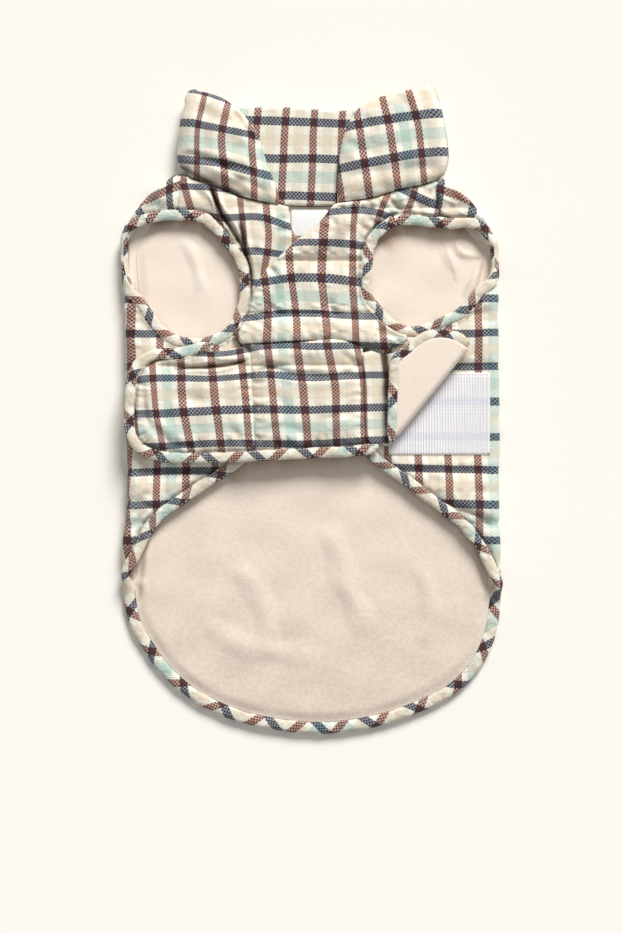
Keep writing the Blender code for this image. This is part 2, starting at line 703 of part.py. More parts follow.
def flap_low(uv, edge):
    """The part beside the belly is padded; the rest is pressed under the turned corner."""
    return -2.6 * dome(edge / 12) * smooth((TURNED_EDGE[0][0] - 7 - uv[:, 0]) / 7)


def flap_high(uv, edge):
    return FLAP_THICK - 0.6 * (1 - dome(edge / 6))


def flap_lining_outline():
    """The inside of the corner, from the top of its turn to the binding."""
    fold = -(FLAP_INSIDE + FLAP_THICK) + FLAP_ARC * 0.8
    inner = FLAP.unfold(offset(turned, -clear - GAP))
    inner = inner[FLAP.local(inner)[:, 1] > fold + 2]
    span = FLAP.local(inner)[:, 0]
    along = np.linspace(span[-1], span[0], 16)
    crease = FLAP.origin + along[:, None] * FLAP.along + fold * FLAP.across
    return np.vstack([inner, crease])


# Collar
def collar_rows(table, turn, side):
    return [(COLLAR.unfold(x, y, turn), y) for x, y in curve(table)]


def collar_outline():
    """Hem of the left half, its front, the top edge round both folds, the right half, the back hem."""
    left = np.array(collar_rows(COLLAR_HEM_L, 1, -1) + collar_rows(COLLAR_WING_L, 1, -1)[1:])
    right = np.array(collar_rows(COLLAR_WING_R, 1, 1) + collar_rows(COLLAR_HEM_R, 1, 1)[1:])
    return np.vstack([left, curve(COLLAR_BACK_TOP), right, curve(COLLAR_HEM_BACK)])


def collar_high(uv, edge):
    """The padding thins to the edges."""
    return COLLAR_EDGE + (COLLAR_THICK - COLLAR_EDGE) * dome(edge / 17)


def rectangle(box, step=8):
    x0, y0, x1, y1 = box
    corners = np.array([(x0, y0), (x1, y0), (x1, y1), (x0, y1), (x0, y0)], float)
    sides = [np.linspace(a, b, max(2, round(np.linalg.norm(b - a) / step) + 1))[:-1]
             for a, b in zip(corners, corners[1:])]
    return np.vstack(sides)


def grown(box, amount):
    return (box[0] - amount, box[1] - amount, box[2] + amount, box[3] + amount)


def coat():
    sheet("back_shell", BACK, back_outline(), flat(0), back_high, (15, 8.5), PLAID,
          also=seen(rectangle(grown(TAPE, 1.8), 12)))
    sheet("back_lining", Drape(lambda uv: np.full(len(uv), BACK_THICK + GAP)), lining_outline(),
          flat(0), flat(LINING_THICK), (26, 26), FLEECE, rings=(8,))
    sheet("chest_left", Drape(lambda uv: np.full(len(uv), CHEST_LEVEL)), chest_left_outline,
          flat(0), chest_left_high, (6, 6), PLAID)
    sheet("chest_right", Drape(chest_level), chest_right_outline, flat(0), chest_high, (9, 6.8), PLAID)
    sheet("belly", Drape(band_level), belly_outline, flat(0), band_high, (9, 8.5), PLAID)
    sheet("flap_left", Drape(band_level), flap_left_outline, flat(0), band_high, (9, 8.5), PLAID)
    sheet("flap_right", FLAP, flap_right_outline, flap_low, flap_high, (7, 7), PLAID)
    sheet("flap_right_lining", FLAP, flap_lining_outline(), flat(FLAP_THICK + GAP),
          flat(FLAP_THICK + GAP + LINING_THICK), (7, 7), FLEECE, rings=(3,))
    sheet("collar", COLLAR, collar_outline(), flat(0), collar_high, (10, 8.5), PLAID)
    bead("binding_arm_left", BACK, arm_left, True, BIAS)
    bead("binding_arm_right", BACK, arm_right, True, BIAS)
    bead("binding_hem", BACK, hem, False, BIAS, half_width=hem_width, lift=hem_lift)
    bead("binding_band", Drape(band_level), band, False, BIAS)
    bead("binding_corner", FLAP, turned_path, False, BIAS, lift=BIAS_LIFT)
    sheet("hook_tape", BACK, seen(rectangle(TAPE))[::-1], flat(TAPE_PRESSED + GAP),
          flat(TAPE_PRESSED + GAP + TAPE_THICK), (12, 12), PALE, rings=(2,))
    sheet("label", Drape(lambda uv: np.full(len(uv), BACK_THICK + LINING_THICK + 2 * GAP)),
          rectangle(LABEL, 6), flat(0), flat(LABEL_THICK), (8, 8), PALE, rings=(2,))


coat()
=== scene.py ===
# %% [markdown]
# # A quilted dog coat, laid flat
#
# A padded dog coat lies on a table with its belly side up. Its back panel is underneath, the two
# sides turn over as wings, and chest, belly band and flaps lie on them. The frame holds one plain
# solid for each piece that a maker would cut. This lesson puts a finer piece in the place of each,
# with its puffs, creases, seams and cloth.
#
# Sizes are in millimetres until an object is made. +Y runs to the collar and +Z is up.

# %% Load the frame
import math

import bmesh
import bpy
import numpy as np
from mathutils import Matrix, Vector
from mathutils.geometry import delaunay_2d_cdt
from mathutils.bvhtree import BVHTree
from mathutils.kdtree import KDTree


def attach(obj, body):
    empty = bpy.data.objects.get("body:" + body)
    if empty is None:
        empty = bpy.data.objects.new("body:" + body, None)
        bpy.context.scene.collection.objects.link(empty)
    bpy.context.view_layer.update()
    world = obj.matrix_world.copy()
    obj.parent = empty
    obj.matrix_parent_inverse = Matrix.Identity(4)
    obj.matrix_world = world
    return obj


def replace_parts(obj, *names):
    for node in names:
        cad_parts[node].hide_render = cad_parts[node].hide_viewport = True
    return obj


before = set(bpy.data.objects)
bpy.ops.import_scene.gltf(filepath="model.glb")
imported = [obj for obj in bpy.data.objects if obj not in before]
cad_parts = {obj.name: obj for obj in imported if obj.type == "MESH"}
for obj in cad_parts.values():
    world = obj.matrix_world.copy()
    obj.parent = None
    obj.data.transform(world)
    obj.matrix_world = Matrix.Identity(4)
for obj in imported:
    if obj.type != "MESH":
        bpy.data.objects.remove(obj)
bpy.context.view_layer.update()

MM = 0.001
print("nodes in the frame:", len(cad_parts))

# %% [markdown]
# ## Sizes and seams
#
# The sizes and the seam lines are those that the solids were made from, so that every finer piece
# lies where its solid lies. A row of a table is a place on a line, seen from above and given as a
# pixel of the camera's frame, x to the right and y down. spots() turns it into millimetres. Where a
# line passes round a side fold, a third column says how far round: 0 on the lower layer, 1 on the
# upper one. Between them x is left at 0, because it follows from the fold.

# %% Driving sizes, mm
GAP = 0.4                 # left between pieces that lie on one another
SEAM = 0.25               # by which each of two sewn panels passes their seam
BACK_THICK = 4.0          # padded back, lying on the surface
LINING_THICK = 0.9
STITCH_THICK = 1.8        # padded cloth pressed together by a quilting line
PUFF_THICK = 5.0          # padded cloth between two quilting lines
FOLD_INSIDE = 2.5         # inner radius where a side turns over
FOLD_ARC = 12.0           # pattern width that the turn takes up
QUILT_PITCH = 34.0        # between two quilting lines
QUILT_START = 97.0        # y of the first quilting line
BAND_LEVEL = 15.6         # inside of belly band and flaps above the surface
BAND_PUFF = 6.0
BAND_SAG = 1.6
BAND_QUILT = 29.0         # y of the quilting line on belly and left flap
CHEST_RAMP = 75.0         # y below which the chest rises to the band
CHEST_LEVEL = BACK_THICK + 2 * FOLD_INSIDE
TUCK_RISE = 3.0           # right chest over left chest at the V
COLLAR_THICK = 8.5
COLLAR_EDGE = 3.4
COLLAR_ARC = 15.0
BIAS_HALF_WIDTH = 3.6     # bias binding round the armholes and wings
BIAS_HALF_HEIGHT = 2.5
BIAS_LIFT = 1.9
HEM_HALF_WIDTH = 4.0
TAPE_THICK = 1.2
TAPE_PRESSED = 3.2
LABEL_THICK = 0.6
FLAP_THICK = 3.2
FLAP_ARC = 8.0
FLAP_INSIDE = 0.6
TURN_STEPS = (0, 0.12, 0.25, 0.38, 0.5, 0.62, 0.75, 0.88, 1)

# %% Pixels of the frame as millimetres
PIXEL = 0.65                   # mm of the table under one pixel of the 622 x 933 frame
MIDDLE_X, MIDDLE_Y = 311, 411  # the pixel over the origin


def spots(*rows):
    """Rows of pixel x, pixel y and anything more, as rows in mm to the nearest half."""
    return [(round((x - MIDDLE_X) * PIXEL * 2) / 2, round((MIDDLE_Y - y) * PIXEL * 2) / 2, *rest)
            for x, y, *rest in rows]


def box_between(low, high):
    """x0, y0, x1, y1 in mm of the box between two corners."""
    return sum(spots(low, high), ())


# %% Side folds of coat and collar: outermost places
SIDE_LEFT = spots((178, 172), (165, 184), (150, 195), (137, 210), (126, 224), (121.5, 240), (121.5, 262),
    (125, 300), (127, 340), (126.5, 400), (128, 450), (129, 500), (125.5, 525), (122.5, 555), (121.5, 590),
    (121.5, 640))
SIDE_RIGHT = spots((443, 180), (456, 186), (465, 197), (475, 207), (488, 225), (497, 245), (498, 270),
    (497, 320), (498, 365), (499, 440), (498, 500), (498.5, 530), (500.5, 560), (503, 600), (503, 640))
COLLAR_LEFT = spots((186, 80), (184.5, 93), (181, 125), (177, 158), (176.5, 175))
COLLAR_RIGHT = spots((434, 80), (437, 90), (442, 115), (446, 140), (448, 160), (449, 185))

# %% Middle lines of the bindings, with the turn
ARM_LEFT = spots((146, 220, 1), (160, 217, 1), (178, 216.5, 1), (196, 217.5, 1), (208, 221, 1),
    (219, 231, 1), (229, 243, 1), (237, 254, 1), (243, 267, 1), (245.5, 285, 1), (243, 308, 1),
    (236, 324, 1), (226, 336, 1), (210, 342.5, 1), (192, 344, 1), (176, 341, 1), (162, 332, 1),
    (152, 320, 1), (143, 306, 1), (0, 292, 0.82), (0, 277, 0.6), (0, 258, 0.5), (0, 240, 0.55),
    (0, 228, 0.8))
ARM_RIGHT = spots((395, 222, 1), (410, 221, 1), (430, 223, 1), (452, 225, 1), (468, 224, 1), (480, 228, 1),
    (0, 238, 0.8), (0, 252, 0.6), (0, 268, 0.6), (0, 282, 0.82), (478, 294, 1), (472, 302, 1),
    (460, 314, 1), (445, 322, 1), (430, 328, 1), (416, 332.5, 1), (402, 331, 1), (388, 323, 1),
    (375, 309, 1), (367, 297, 1), (366, 280, 1), (367, 258, 1), (371, 244, 1), (381, 230, 1))
HEM = spots((251, 353, 1), (258, 375, 1), (260, 405, 1), (254, 435, 1), (243, 456, 1), (229, 469, 1),
    (208, 482, 1), (189, 495, 1), (169, 508, 1), (154, 522, 1), (145, 537, 1), (138, 552, 1),
    (0, 566, 0.85), (0, 578, 0.5), (0, 590, 0.15), (131, 604, 0), (135, 620, 0), (143, 637, 0),
    (164, 667, 0), (193, 693, 0), (232, 712.5, 0), (271, 722.5, 0), (325, 727.5, 0), (384, 718, 0),
    (437, 697.5, 0), (463, 678, 0), (481, 654, 0), (490, 630, 0), (493, 610, 0), (0, 598, 0.15),
    (0, 588, 0.5), (0, 576, 0.85), (487, 560, 1), (479, 544, 1), (466, 528, 1), (455, 517, 1),
    (437, 504, 1), (421, 492, 1), (406, 480, 1), (388, 468, 1), (374, 457, 1), (360, 442, 1), (352, 415, 1),
    (351, 385, 1), (358, 355, 1), (366, 335, 1))
BAND = spots((214, 346), (203, 348.5), (190, 351.5), (176, 355), (163, 354.5), (150, 358), (139, 367),
    (133, 382), (131.5, 400), (132, 428), (137, 443), (148, 452), (170, 457), (200, 458), (230, 457.5),
    (260, 456), (290, 454), (320, 452.5), (345, 452), (366, 449.5), (378, 446))

# %% Seams and free edges of the upper pieces
SHOULDER_LEFT = spots((182, 177), (181, 187), (179.5, 198), (178, 210))
SHOULDER_RIGHT = spots((439, 184), (435, 190), (436, 198), (438.5, 214))
V_LEFT = spots((289, 208), (290, 222), (293, 233), (300, 242), (306, 249), (292, 262), (276, 277),
    (267, 292), (261, 305))
V_RIGHT = spots((333, 206), (322, 221), (314, 229), (299, 240), (283, 254), (265, 272), (256, 288),
    (251, 302))
CHEST_HEM = spots((243, 346.5), (270, 345), (300, 343), (325, 340.5), (341, 341), (360, 347), (385, 351),
    (398, 347), (408, 342))
BELLY_LEFT = spots((251, 350), (251.5, 370), (253, 400), (254.5, 430), (256, 450))
BELLY_RIGHT = spots((362, 350), (363, 380), (364, 410), (365.5, 445))
FLAP_LEFT_TOP = spots((187, 356), (200, 353.5), (220, 351.5), (245, 348))
FLAP_RIGHT_TOP = spots((370, 352), (386, 355), (398, 352), (412, 347.5), (430, 346), (450, 348), (462, 351))
TURN_LOW, TURN_HIGH = spots((386, 453), (472, 348))
TURNED_EDGE = spots((387, 449), (391, 438), (392, 420), (392.5, 400), (393, 380), (394, 366), (399, 358),
    (406, 352), (416, 344), (428, 337), (445, 336), (458, 340), (467, 346))

# %% Collar, hook tape and label
COLLAR_WING_L = spots((279.5, 205), (279, 195), (274, 182), (268, 167), (261, 145), (254, 130), (242, 114),
    (230, 105), (222, 99.5), (208, 95), (195, 92.5))
COLLAR_BACK_TOP = spots((200, 103), (232, 107.5), (260, 108.5), (290, 109), (320, 111), (345, 112),
    (385, 108), (420, 101))
COLLAR_WING_R = spots((424, 90), (405, 92.5), (380, 98.5), (362, 107), (351, 120), (343, 138), (338.5, 160),
    (337, 180), (337, 204))
COLLAR_HEM_R = spots((337, 204), (350, 202.5), (375, 198), (400, 190.5), (420, 186.5), (433, 182),
    (440, 178))
COLLAR_HEM_BACK = spots((443, 179), (433, 184), (400, 191), (375, 199), (350, 204), (332, 206), (288, 206),
    (262, 202.5), (235, 195), (205, 184.5), (192, 180), (184, 174))
COLLAR_HEM_L = spots((186, 173), (192, 178.5), (205, 183.5), (220, 188.5), (245, 198.5), (265, 203.5),
    (279.5, 205))
TAPE = box_between((388, 455), (489, 373))
LABEL = box_between((291, 237), (328, 210))
print("hem binding has", len(HEM), "places, the band", len(BAND))

# %% [markdown]
# ## Lines in the pattern
#
# Cloth is cut flat. So each sheet starts as a flat outline, and the folds come later. A maker's
# pattern has smooth curves through a few marks, and here a spline does that. Curves could also be
# Blender curve objects, but plain arrays are simpler to join, cut and measure.

# %% Curves through a few marks
def curve(rows, closed=False, step=2.4):
    """Smooth curve through the rows, as points about step mm apart."""
    pts = np.array(rows, float)
    n = len(pts)
    if closed:
        before, after = pts[-1:], pts[:2]
    else:
        before, after = 2 * pts[:1] - pts[1:2], np.vstack([2 * pts[-1] - pts[-2], pts[-1]])
    padded = np.vstack([before, pts, after])
    fine = []
    for i in range(n if closed else n - 1):
        a, b, c, d = padded[i:i + 4]
        t = np.linspace(0, 1, 16, endpoint=False)[:, None]
        fine.append(0.5 * (2 * b + (c - a) * t + (2 * a - 5 * b + 4 * c - d) * t ** 2
                           + (3 * b - a - 3 * c + d) * t ** 3))
    fine = np.vstack(fine + [pts[:1] if closed else pts[-1:]])
    return resample(fine, step, closed)


def run_of(line):
    """How far along the line each of its points is."""
    return np.concatenate([[0], np.cumsum(np.linalg.norm(np.diff(line, axis=0), axis=1))])


def directions(line, closed=False):
    """Unit vectors along the line."""
    along = np.roll(line, -1, 0) - np.roll(line, 1, 0) if closed else np.gradient(line, axis=0)
    return along / np.linalg.norm(along, axis=1)[:, None]


def resample(line, step, closed=False):
    length = run_of(line)
    count = max(2, round(length[-1] / step) + 1)
    at = np.linspace(0, length[-1], count)
    out = np.column_stack([np.interp(at, length, line[:, k]) for k in range(line.shape[1])])
    return out[:-1] if closed else out


# %% Distances, offsets and parts of a line
def measure(points, line, closed=False):
    """Distance of each point to the line, and how far along the line it is met."""
    ends = np.roll(line, -1, 0) if closed else line[1:]
    starts = line if closed else line[:-1]
    best, where, run = np.full(len(points), np.inf), np.zeros(len(points)), 0.0
    for a, b in zip(starts, ends):
        ab = b - a
        size = math.sqrt(max(ab @ ab, 1e-12))
        t = np.clip(((points - a) @ ab) / size ** 2, 0, 1)
        gap = np.hypot(points[:, 0] - a[0] - t * ab[0], points[:, 1] - a[1] - t * ab[1])
        closer = gap < best
        best, where = np.where(closer, gap, best), np.where(closer, run + t * size, where)
        run += size
    return best, where


def distance(points, line, closed=False):
    return measure(points, line, closed)[0]


def offset(line, amount, closed=False):
    """The line moved sideways in the pattern: left of its direction when amount > 0."""
    along = directions(line, closed)
    moved = line + amount * np.column_stack([-along[:, 1], along[:, 0]])
    return moved[distance(moved, line, closed) > abs(amount) * 0.97]


def outward(loop):
    """+1 where left of the loop's direction is outside it."""
    x, y = loop[:, 0], loop[:, 1]
    return -1 if np.sum(x * np.roll(y, -1) - y * np.roll(x, -1)) > 0 else 1


def nearest(line, point):
    return int(np.argmin(np.linalg.norm(line - np.array(point), axis=1)))


def portion(line, start, end, via=None):
    """Part of the line between two points; via picks the way round a closed loop."""
    i, j = nearest(line, start), nearest(line, end)
    if via is None:
        return line[i:j + 1] if i <= j else line[j:i + 1][::-1]
    n = len(line)
    ahead = line[[(i + k) % n for k in range((j - i) % n + 1)]]
    back = line[[(i - k) % n for k in range((i - j) % n + 1)]]
    gaps = [np.min(np.linalg.norm(way - np.array(via), axis=1)) for way in (ahead, back)]
    return ahead if gaps[0] < gaps[1] else back


def inside(points, loop):
    """Whether each point is inside the loop: a ray from it crosses the loop an odd number of times."""
    hit = np.zeros(len(points), bool)
    for a, b in zip(loop, np.roll(loop, -1, 0)):
        crosses = (a[1] > points[:, 1]) != (b[1] > points[:, 1])
        x = a[0] + (points[:, 1] - a[1]) / ((b[1] - a[1]) or 1e-12) * (b[0] - a[0])
        hit ^= crosses & (points[:, 0] < x)
    return hit


# %% Soft steps and uneven waves
def smooth(t):
    """0 up to 0, 1 from 1 on, soft between them."""
    t = np.clip(t, 0, 1)
    return t * t * (3 - 2 * t)


def dome(t):
    """Rises steeply from 0 and levels out at 1, as a stuffed edge does."""
    return np.sqrt(1 - (1 - np.clip(t, 0, 1)) ** 2)


def ripple(at, pitch, seed):
    """Soft uneven wave along one length, between about -1 and 1."""
    rng = np.random.default_rng(seed)
    total = np.zeros(np.shape(at))
    for _ in range(5):
        wave = at * 2 * math.pi / (pitch * rng.uniform(0.6, 1.9))
        total = total + np.cos(wave + rng.uniform(0, 6.28))
    return total / 3.2


def lumps(points, pitch, seed, waves=9):
    """Soft uneven hills over a sheet, between about -1 and 1."""
    rng = np.random.default_rng(seed)
    total = np.zeros(len(points))
    for _ in range(waves):
        angle, size = rng.uniform(0, math.pi), 2 * math.pi / (pitch * rng.uniform(0.7, 1.6))
        way = points[:, 0] * math.cos(angle) + points[:, 1] * math.sin(angle)
        total += np.cos(way * size + rng.uniform(0, 6.28))
    return total / (0.75 * waves ** 0.5 * 2)


print("a fold line of", len(curve(SIDE_LEFT)), "points")

# %% [markdown]
# ## Surfaces that the pattern is laid on
#
# A surface answers one question: where does a point of the flat pattern lie, and which way does
# its outer side face? The back and the collar turn over at their sides, the other sheets drape
# at a height, and the right flap turns one corner back. The sheet can then have any relief on it.

# %% Wrap: a layer that turns up at both sides and lies back on itself
class Wrap:
    """left and right are the outermost places of the folds; tip_y is where each one's turn ends."""

    def __init__(self, left, right, inner, thick, arc, tip_y):
        self.left, self.right = np.array(left, float), np.array(right, float)
        self.inner, self.thick, self.arc, self.tip_y = inner, thick, arc, tip_y

    def narrow(self, y, side):
        """The turn gets slimmer towards the shoulder's tip."""
        return 0.2 + 0.8 * smooth((self.tip_y[side > 0] - y) / 24)

    def fold(self, y, side):
        table = self.left if side < 0 else self.right
        order = np.argsort(table[:, 1])
        edge = np.interp(y, table[order, 1], table[order, 0])
        return edge - side * (self.inner + self.thick) * self.narrow(y, side)

    def unfold(self, x, y, turn):
        side = -1 if x < 0 else 1
        fold = self.fold(y, side)
        if turn == 0:
            return x
        if turn == 1:
            return fold + side * self.arc + (fold - x)
        return fold + side * turn * self.arc

    def rows(self, table):
        """Table rows of x, y, turn as pattern points; a row on a fold takes the side before it."""
        out, last = [], -1
        for x, y, turn in table:
            if turn in (0, 1):
                last = -1 if x < 0 else 1
            out.append((self.unfold(x if turn in (0, 1) else last, y, turn), y))
        return out

    def place(self, uv):
        u, y = uv[:, 0], uv[:, 1]
        centre = self.thick + self.inner
        x, z = u.copy(), np.full(len(u), centre - self.inner)
        nx, nz = np.zeros(len(u)), -np.ones(len(u))
        for side in (-1, 1):
            fold = self.fold(y, side)
            turn = side * (u - fold) / self.arc
            angle = math.pi * np.clip(turn, 0, 1)
            slim = self.narrow(y, side)
            over = turn > 0
            sine, cosine = np.sin(angle) * side * slim, np.cos(angle)
            beyond = side * np.maximum(turn - 1, 0) * self.arc
            x = np.where(over, fold + self.inner * sine - beyond, x)
            z = np.where(over, centre - self.inner * cosine, z)
            nx, nz = np.where(over, sine, nx), np.where(over, -cosine, nz)
        return np.column_stack([x, y, z]), np.column_stack([nx, np.zeros(len(u)), nz])

    def turn_points(self, lo, hi):
        """Pattern points along both folds, close enough for an even turn."""
        ys = np.arange(lo[1] + 2, hi[1], 4.4)
        lines = [np.column_stack([self.fold(ys, side) + side * turn * self.arc, ys])
                 for side in (-1, 1) for turn in TURN_STEPS]
        return np.vstack(lines)

    def turned(self, uv):
        """0 on the lower layer, 1 on the upper one."""
        best = np.zeros(len(uv))
        for side in (-1, 1):
            best = np.maximum(best, side * (uv[:, 0] - self.fold(uv[:, 1], side)) / self.arc)
        return np.clip(best, 0, 1)


# %% Drape: a layer at a height that changes from place to place
class Drape:
    def __init__(self, height):
        self.height = height

    def place(self, uv):
        up = np.tile([0.0, 0.0, 1.0], (len(uv), 1))
        return np.column_stack([uv, self.height(uv)]), up


# %% Corner: a flap whose corner turns back along a straight line
class Corner:
    def __init__(self, low, high, level):
        self.origin = np.array(low, float)
        along = np.array(high, float) - self.origin
        self.along = along / np.linalg.norm(along)
        self.across = np.array([self.along[1], -self.along[0]])
        self.level = level
        self.start = -(FLAP_INSIDE + FLAP_THICK)

    def local(self, points):
        rel = np.asarray(points, float) - self.origin
        return np.column_stack([rel @ self.along, rel @ self.across])

    def turned(self, uv):
        return np.clip((self.local(uv)[:, 1] - self.start) / FLAP_ARC, 0, 1)

    def turn_points(self, lo, hi):
        """Pattern points along the straight fold."""
        along = np.arange(-10, 150, 3.0)
        line = self.origin + along[:, None] * self.along
        return np.vstack([line + (self.start + turn * FLAP_ARC) * self.across for turn in TURN_STEPS])

    def unfold(self, points):
        """Pattern points of places seen on the turned corner."""
        loc = self.local(points)
        across = 2 * self.start + FLAP_ARC - loc[:, 1]
        return self.origin + loc[:, :1] * self.along + across[:, None] * self.across

    def place(self, uv):
        loc = self.local(uv)
        turn = (loc[:, 1] - self.start) / FLAP_ARC
        angle = math.pi * np.clip(turn, 0, 1)
        across = np.where(turn > 0, self.start + FLAP_INSIDE * np.sin(angle)
                          - np.maximum(turn - 1, 0) * FLAP_ARC, loc[:, 1])
        z = self.level(uv) + FLAP_THICK + FLAP_INSIDE - FLAP_INSIDE * np.cos(angle)
        flat = self.origin + loc[:, :1] * self.along + across[:, None] * self.across
        out = np.sin(angle)[:, None] * self.across
        return np.column_stack([flat, z]), np.column_stack([out, -np.cos(angle)])


BACK = Wrap(SIDE_LEFT, SIDE_RIGHT, FOLD_INSIDE, BACK_THICK, FOLD_ARC, (152.0, 148.0))
COLLAR = Wrap(COLLAR_LEFT, COLLAR_RIGHT, 0.4, COLLAR_THICK, COLLAR_ARC, (500, 500))


def chest_level(uv):
    """The chest rises over the left chest at the V and up to the band at its hem."""
    v_rise = TUCK_RISE * (1 - smooth((distance(uv, v_right) - 9) / 12))
    hem_rise = (band_level(uv) - CHEST_LEVEL) * smooth((CHEST_RAMP - uv[:, 1]) / 30)
    return CHEST_LEVEL + np.maximum(v_rise, hem_rise)


def band_level(uv):
    """Level over the wings, sagging where only the belly lies below, and bending at the left side."""
    sag = BAND_SAG * np.cos(np.clip((uv[:, 0] + 3) / 52, -0.5, 0.5) * math.pi) ** 2
    past = np.clip(BACK.fold(uv[:, 1], -1) - uv[:, 0], 0, 9)
    return BAND_LEVEL - sag - 9.1 * (1 - np.sqrt(1 - (past / 9.5) ** 2))


def flap_level(uv):
    """The flap sinks onto the hook tape beyond its padded part."""
    return BAND_LEVEL - 1.3 * smooth((uv[:, 0] - 38) / 9)


FLAP = Corner(TURN_LOW, TURN_HIGH, flap_level)
print("left fold at mid length:", round(float(BACK.fold(np.array([0.0]), -1)[0]), 1), "mm")

# %% [markdown]
# ## Outlines of the sheets
#
# The outlines repeat those of the solids. A binding wraps the raw edge of the cloth, so here each
# edge ends inside the strip that is swept along it, and two panels meet in their seam.

# %% Edges beside the bindings
clear = BIAS_HALF_WIDTH - 1.3       # from a binding's middle line to the raw edge inside it


def seen(points):
    """Places on the upper layer as pattern points of the back."""
    return np.array([(BACK.unfold(x, y, 1), y) for x, y in np.array(points, float)[:, :2]])


def in_view(points):
    """Pattern points of the back as places."""
    return BACK.place(np.array(points))[0][:, :2]


def beside(path, amount, closed=False):
    """Edge of the cloth beside a binding, as far from the binding's middle line in space as asked."""
    along = directions(path, closed)
    side = (outward(path) if closed else 1) * np.column_stack([-along[:, 1], along[:, 0]])
    middle = np.add(*BACK.place(path))
    chosen = np.full((len(path), 2), np.nan)
    for reach in np.arange(amount, amount + 9, 0.3):
        moved = path + reach * side
        spot = np.add(*BACK.place(moved))
        gap = np.array([np.min(np.linalg.norm(middle - p, axis=1)) for p in spot])
        turn = BACK.turned(moved)
        wanted = amount + 0.9 * ((turn > 0.02) & (turn < 0.98))
        fits = np.isnan(chosen[:, 0]) & (gap >= wanted - 0.02)
        chosen[fits] = moved[fits]
    chosen = chosen[~np.isnan(chosen[:, 0])]
    return resample(np.vstack([chosen, chosen[:1]]) if closed else chosen, 2.4, closed)


arm_left = curve(BACK.rows(ARM_LEFT), True, 1.5)
arm_right = curve(BACK.rows(ARM_RIGHT), True, 1.5)
hem = curve(BACK.rows(HEM), False, 1.5)
band = curve(BAND, False, 1.5)
arm_left_edge = beside(curve(BACK.rows(ARM_LEFT), True, 1.0), clear, True)
arm_right_edge = beside(curve(BACK.rows(ARM_RIGHT), True, 1.0), clear, True)
hem_edge = beside(curve(BACK.rows(HEM), False, 1.5), HEM_HALF_WIDTH - 1.3)
band_edge = offset(curve(BAND), clear)
neck_front_left = offset(curve(COLLAR_HEM_L), -GAP)
neck_front_right = offset(curve(COLLAR_HEM_R), -GAP)
neck_back = offset(curve(COLLAR_HEM_BACK), GAP)[::-1]
print("armhole edges have", len(arm_left_edge), "and", len(arm_right_edge), "points")


# %% Back and lining
def back_outline():
    shoulder_l = seen(curve(SHOULDER_LEFT) + [SEAM, 0])
    shoulder_r = seen(curve(SHOULDER_RIGHT) - [SEAM, 0])
    front_l, front_r = hem[0], hem[-1]
    around_l = portion(arm_left_edge, front_l, shoulder_l[-1], via=(arm_left[:, 0].max(), 105))
    around_r = portion(arm_right_edge, shoulder_r[-1], front_r, via=(arm_right[:, 0].min(), 105))
    low = hem_edge[(distance(hem_edge, arm_left, True) > clear + 2)
                   & (distance(hem_edge, arm_right, True) > clear + 2)]
    return np.vstack([neck_back, shoulder_r, around_r[1:], low[::-1], around_l[:-1], shoulder_l[::-1]])


def lining_outline():
    """Inside of the back from fold to fold, short of the hem binding."""
    lower = beside(curve(BACK.rows(HEM), False, 1.5), HEM_HALF_WIDTH - 0.4)
    lower = lower[BACK.turned(lower) < 0.02]
    side_x = lambda y, side: BACK.fold(y, side) - side * 3.2 - side * 7.0 * smooth((y - 100) / 20)
    x, y = neck_back.T
    top = neck_back[(x > side_x(y, -1) + 2) & (x < side_x(y, 1) - 2)]
    left, right = (np.column_stack([side_x(ys, side), ys]) for side, ys in
                   ((-1, np.arange(lower[0][1] + 3, top[0][1] - 2, 3)),
                    (1, np.arange(lower[-1][1] + 3, top[-1][1] - 2, 3))))
    return np.vstack([top, right[::-1], lower[::-1], left])


# %% Chest, belly and flaps
arm_left_view = in_view(arm_left_edge)
arm_right_view = in_view(arm_right_edge)
v_right = curve(V_RIGHT)
chest_hem = curve(CHEST_HEM)
chest_right_outline = np.vstack([
    v_right,
    portion(arm_left_view, v_right[-1], chest_hem[0] + [-3, 5], via=(-44, 62))[1:],
    chest_hem,
    portion(arm_right_view, chest_hem[-1], (82, 126), via=arm_right_view[arm_right_view[:, 0].argmin()])[1:],
    (curve(SHOULDER_RIGHT) + [SEAM, 0])[::-1],
    neck_front_right[::-1][2:],
])
chest_left_outline = np.vstack([
    neck_front_left[1:],
    curve(V_LEFT),
    portion(arm_left_view, (-39, 68), (-86, 129), via=arm_left_view[arm_left_view[:, 0].argmax()]),
    (curve(SHOULDER_LEFT) - [SEAM, 0])[::-1],
])
belly_left, belly_right = curve(BELLY_LEFT), curve(BELLY_RIGHT)
seam_top = offset(chest_hem, SEAM)
belly_outline = np.vstack([
    portion(seam_top, belly_left[0], belly_right[0]),
    (belly_right + [SEAM, 0])[1:-1],
    portion(band_edge, belly_right[-1], belly_left[-1]),
    (belly_left - [SEAM, 0])[::-1][1:-1],
])
flap_left_outline = np.vstack([
    portion(band_edge, belly_left[-1] - [3, 0], band_edge[0]),
    curve(FLAP_LEFT_TOP),
    (belly_left + [SEAM, 0])[1:-1],
])
turned = curve(TURNED_EDGE)
turned_path = resample(FLAP.unfold(turned)[2:], 1.5)
turned_edge = FLAP.unfold(offset(turned, -clear))
flap_right_outline = np.vstack([
    curve(FLAP_RIGHT_TOP)[::-1],
    (belly_right - [SEAM, 0])[1:-1],
    portion(band_edge, belly_right[-1] + [3, 0], band_edge[-1]),
    turned_edge,
])


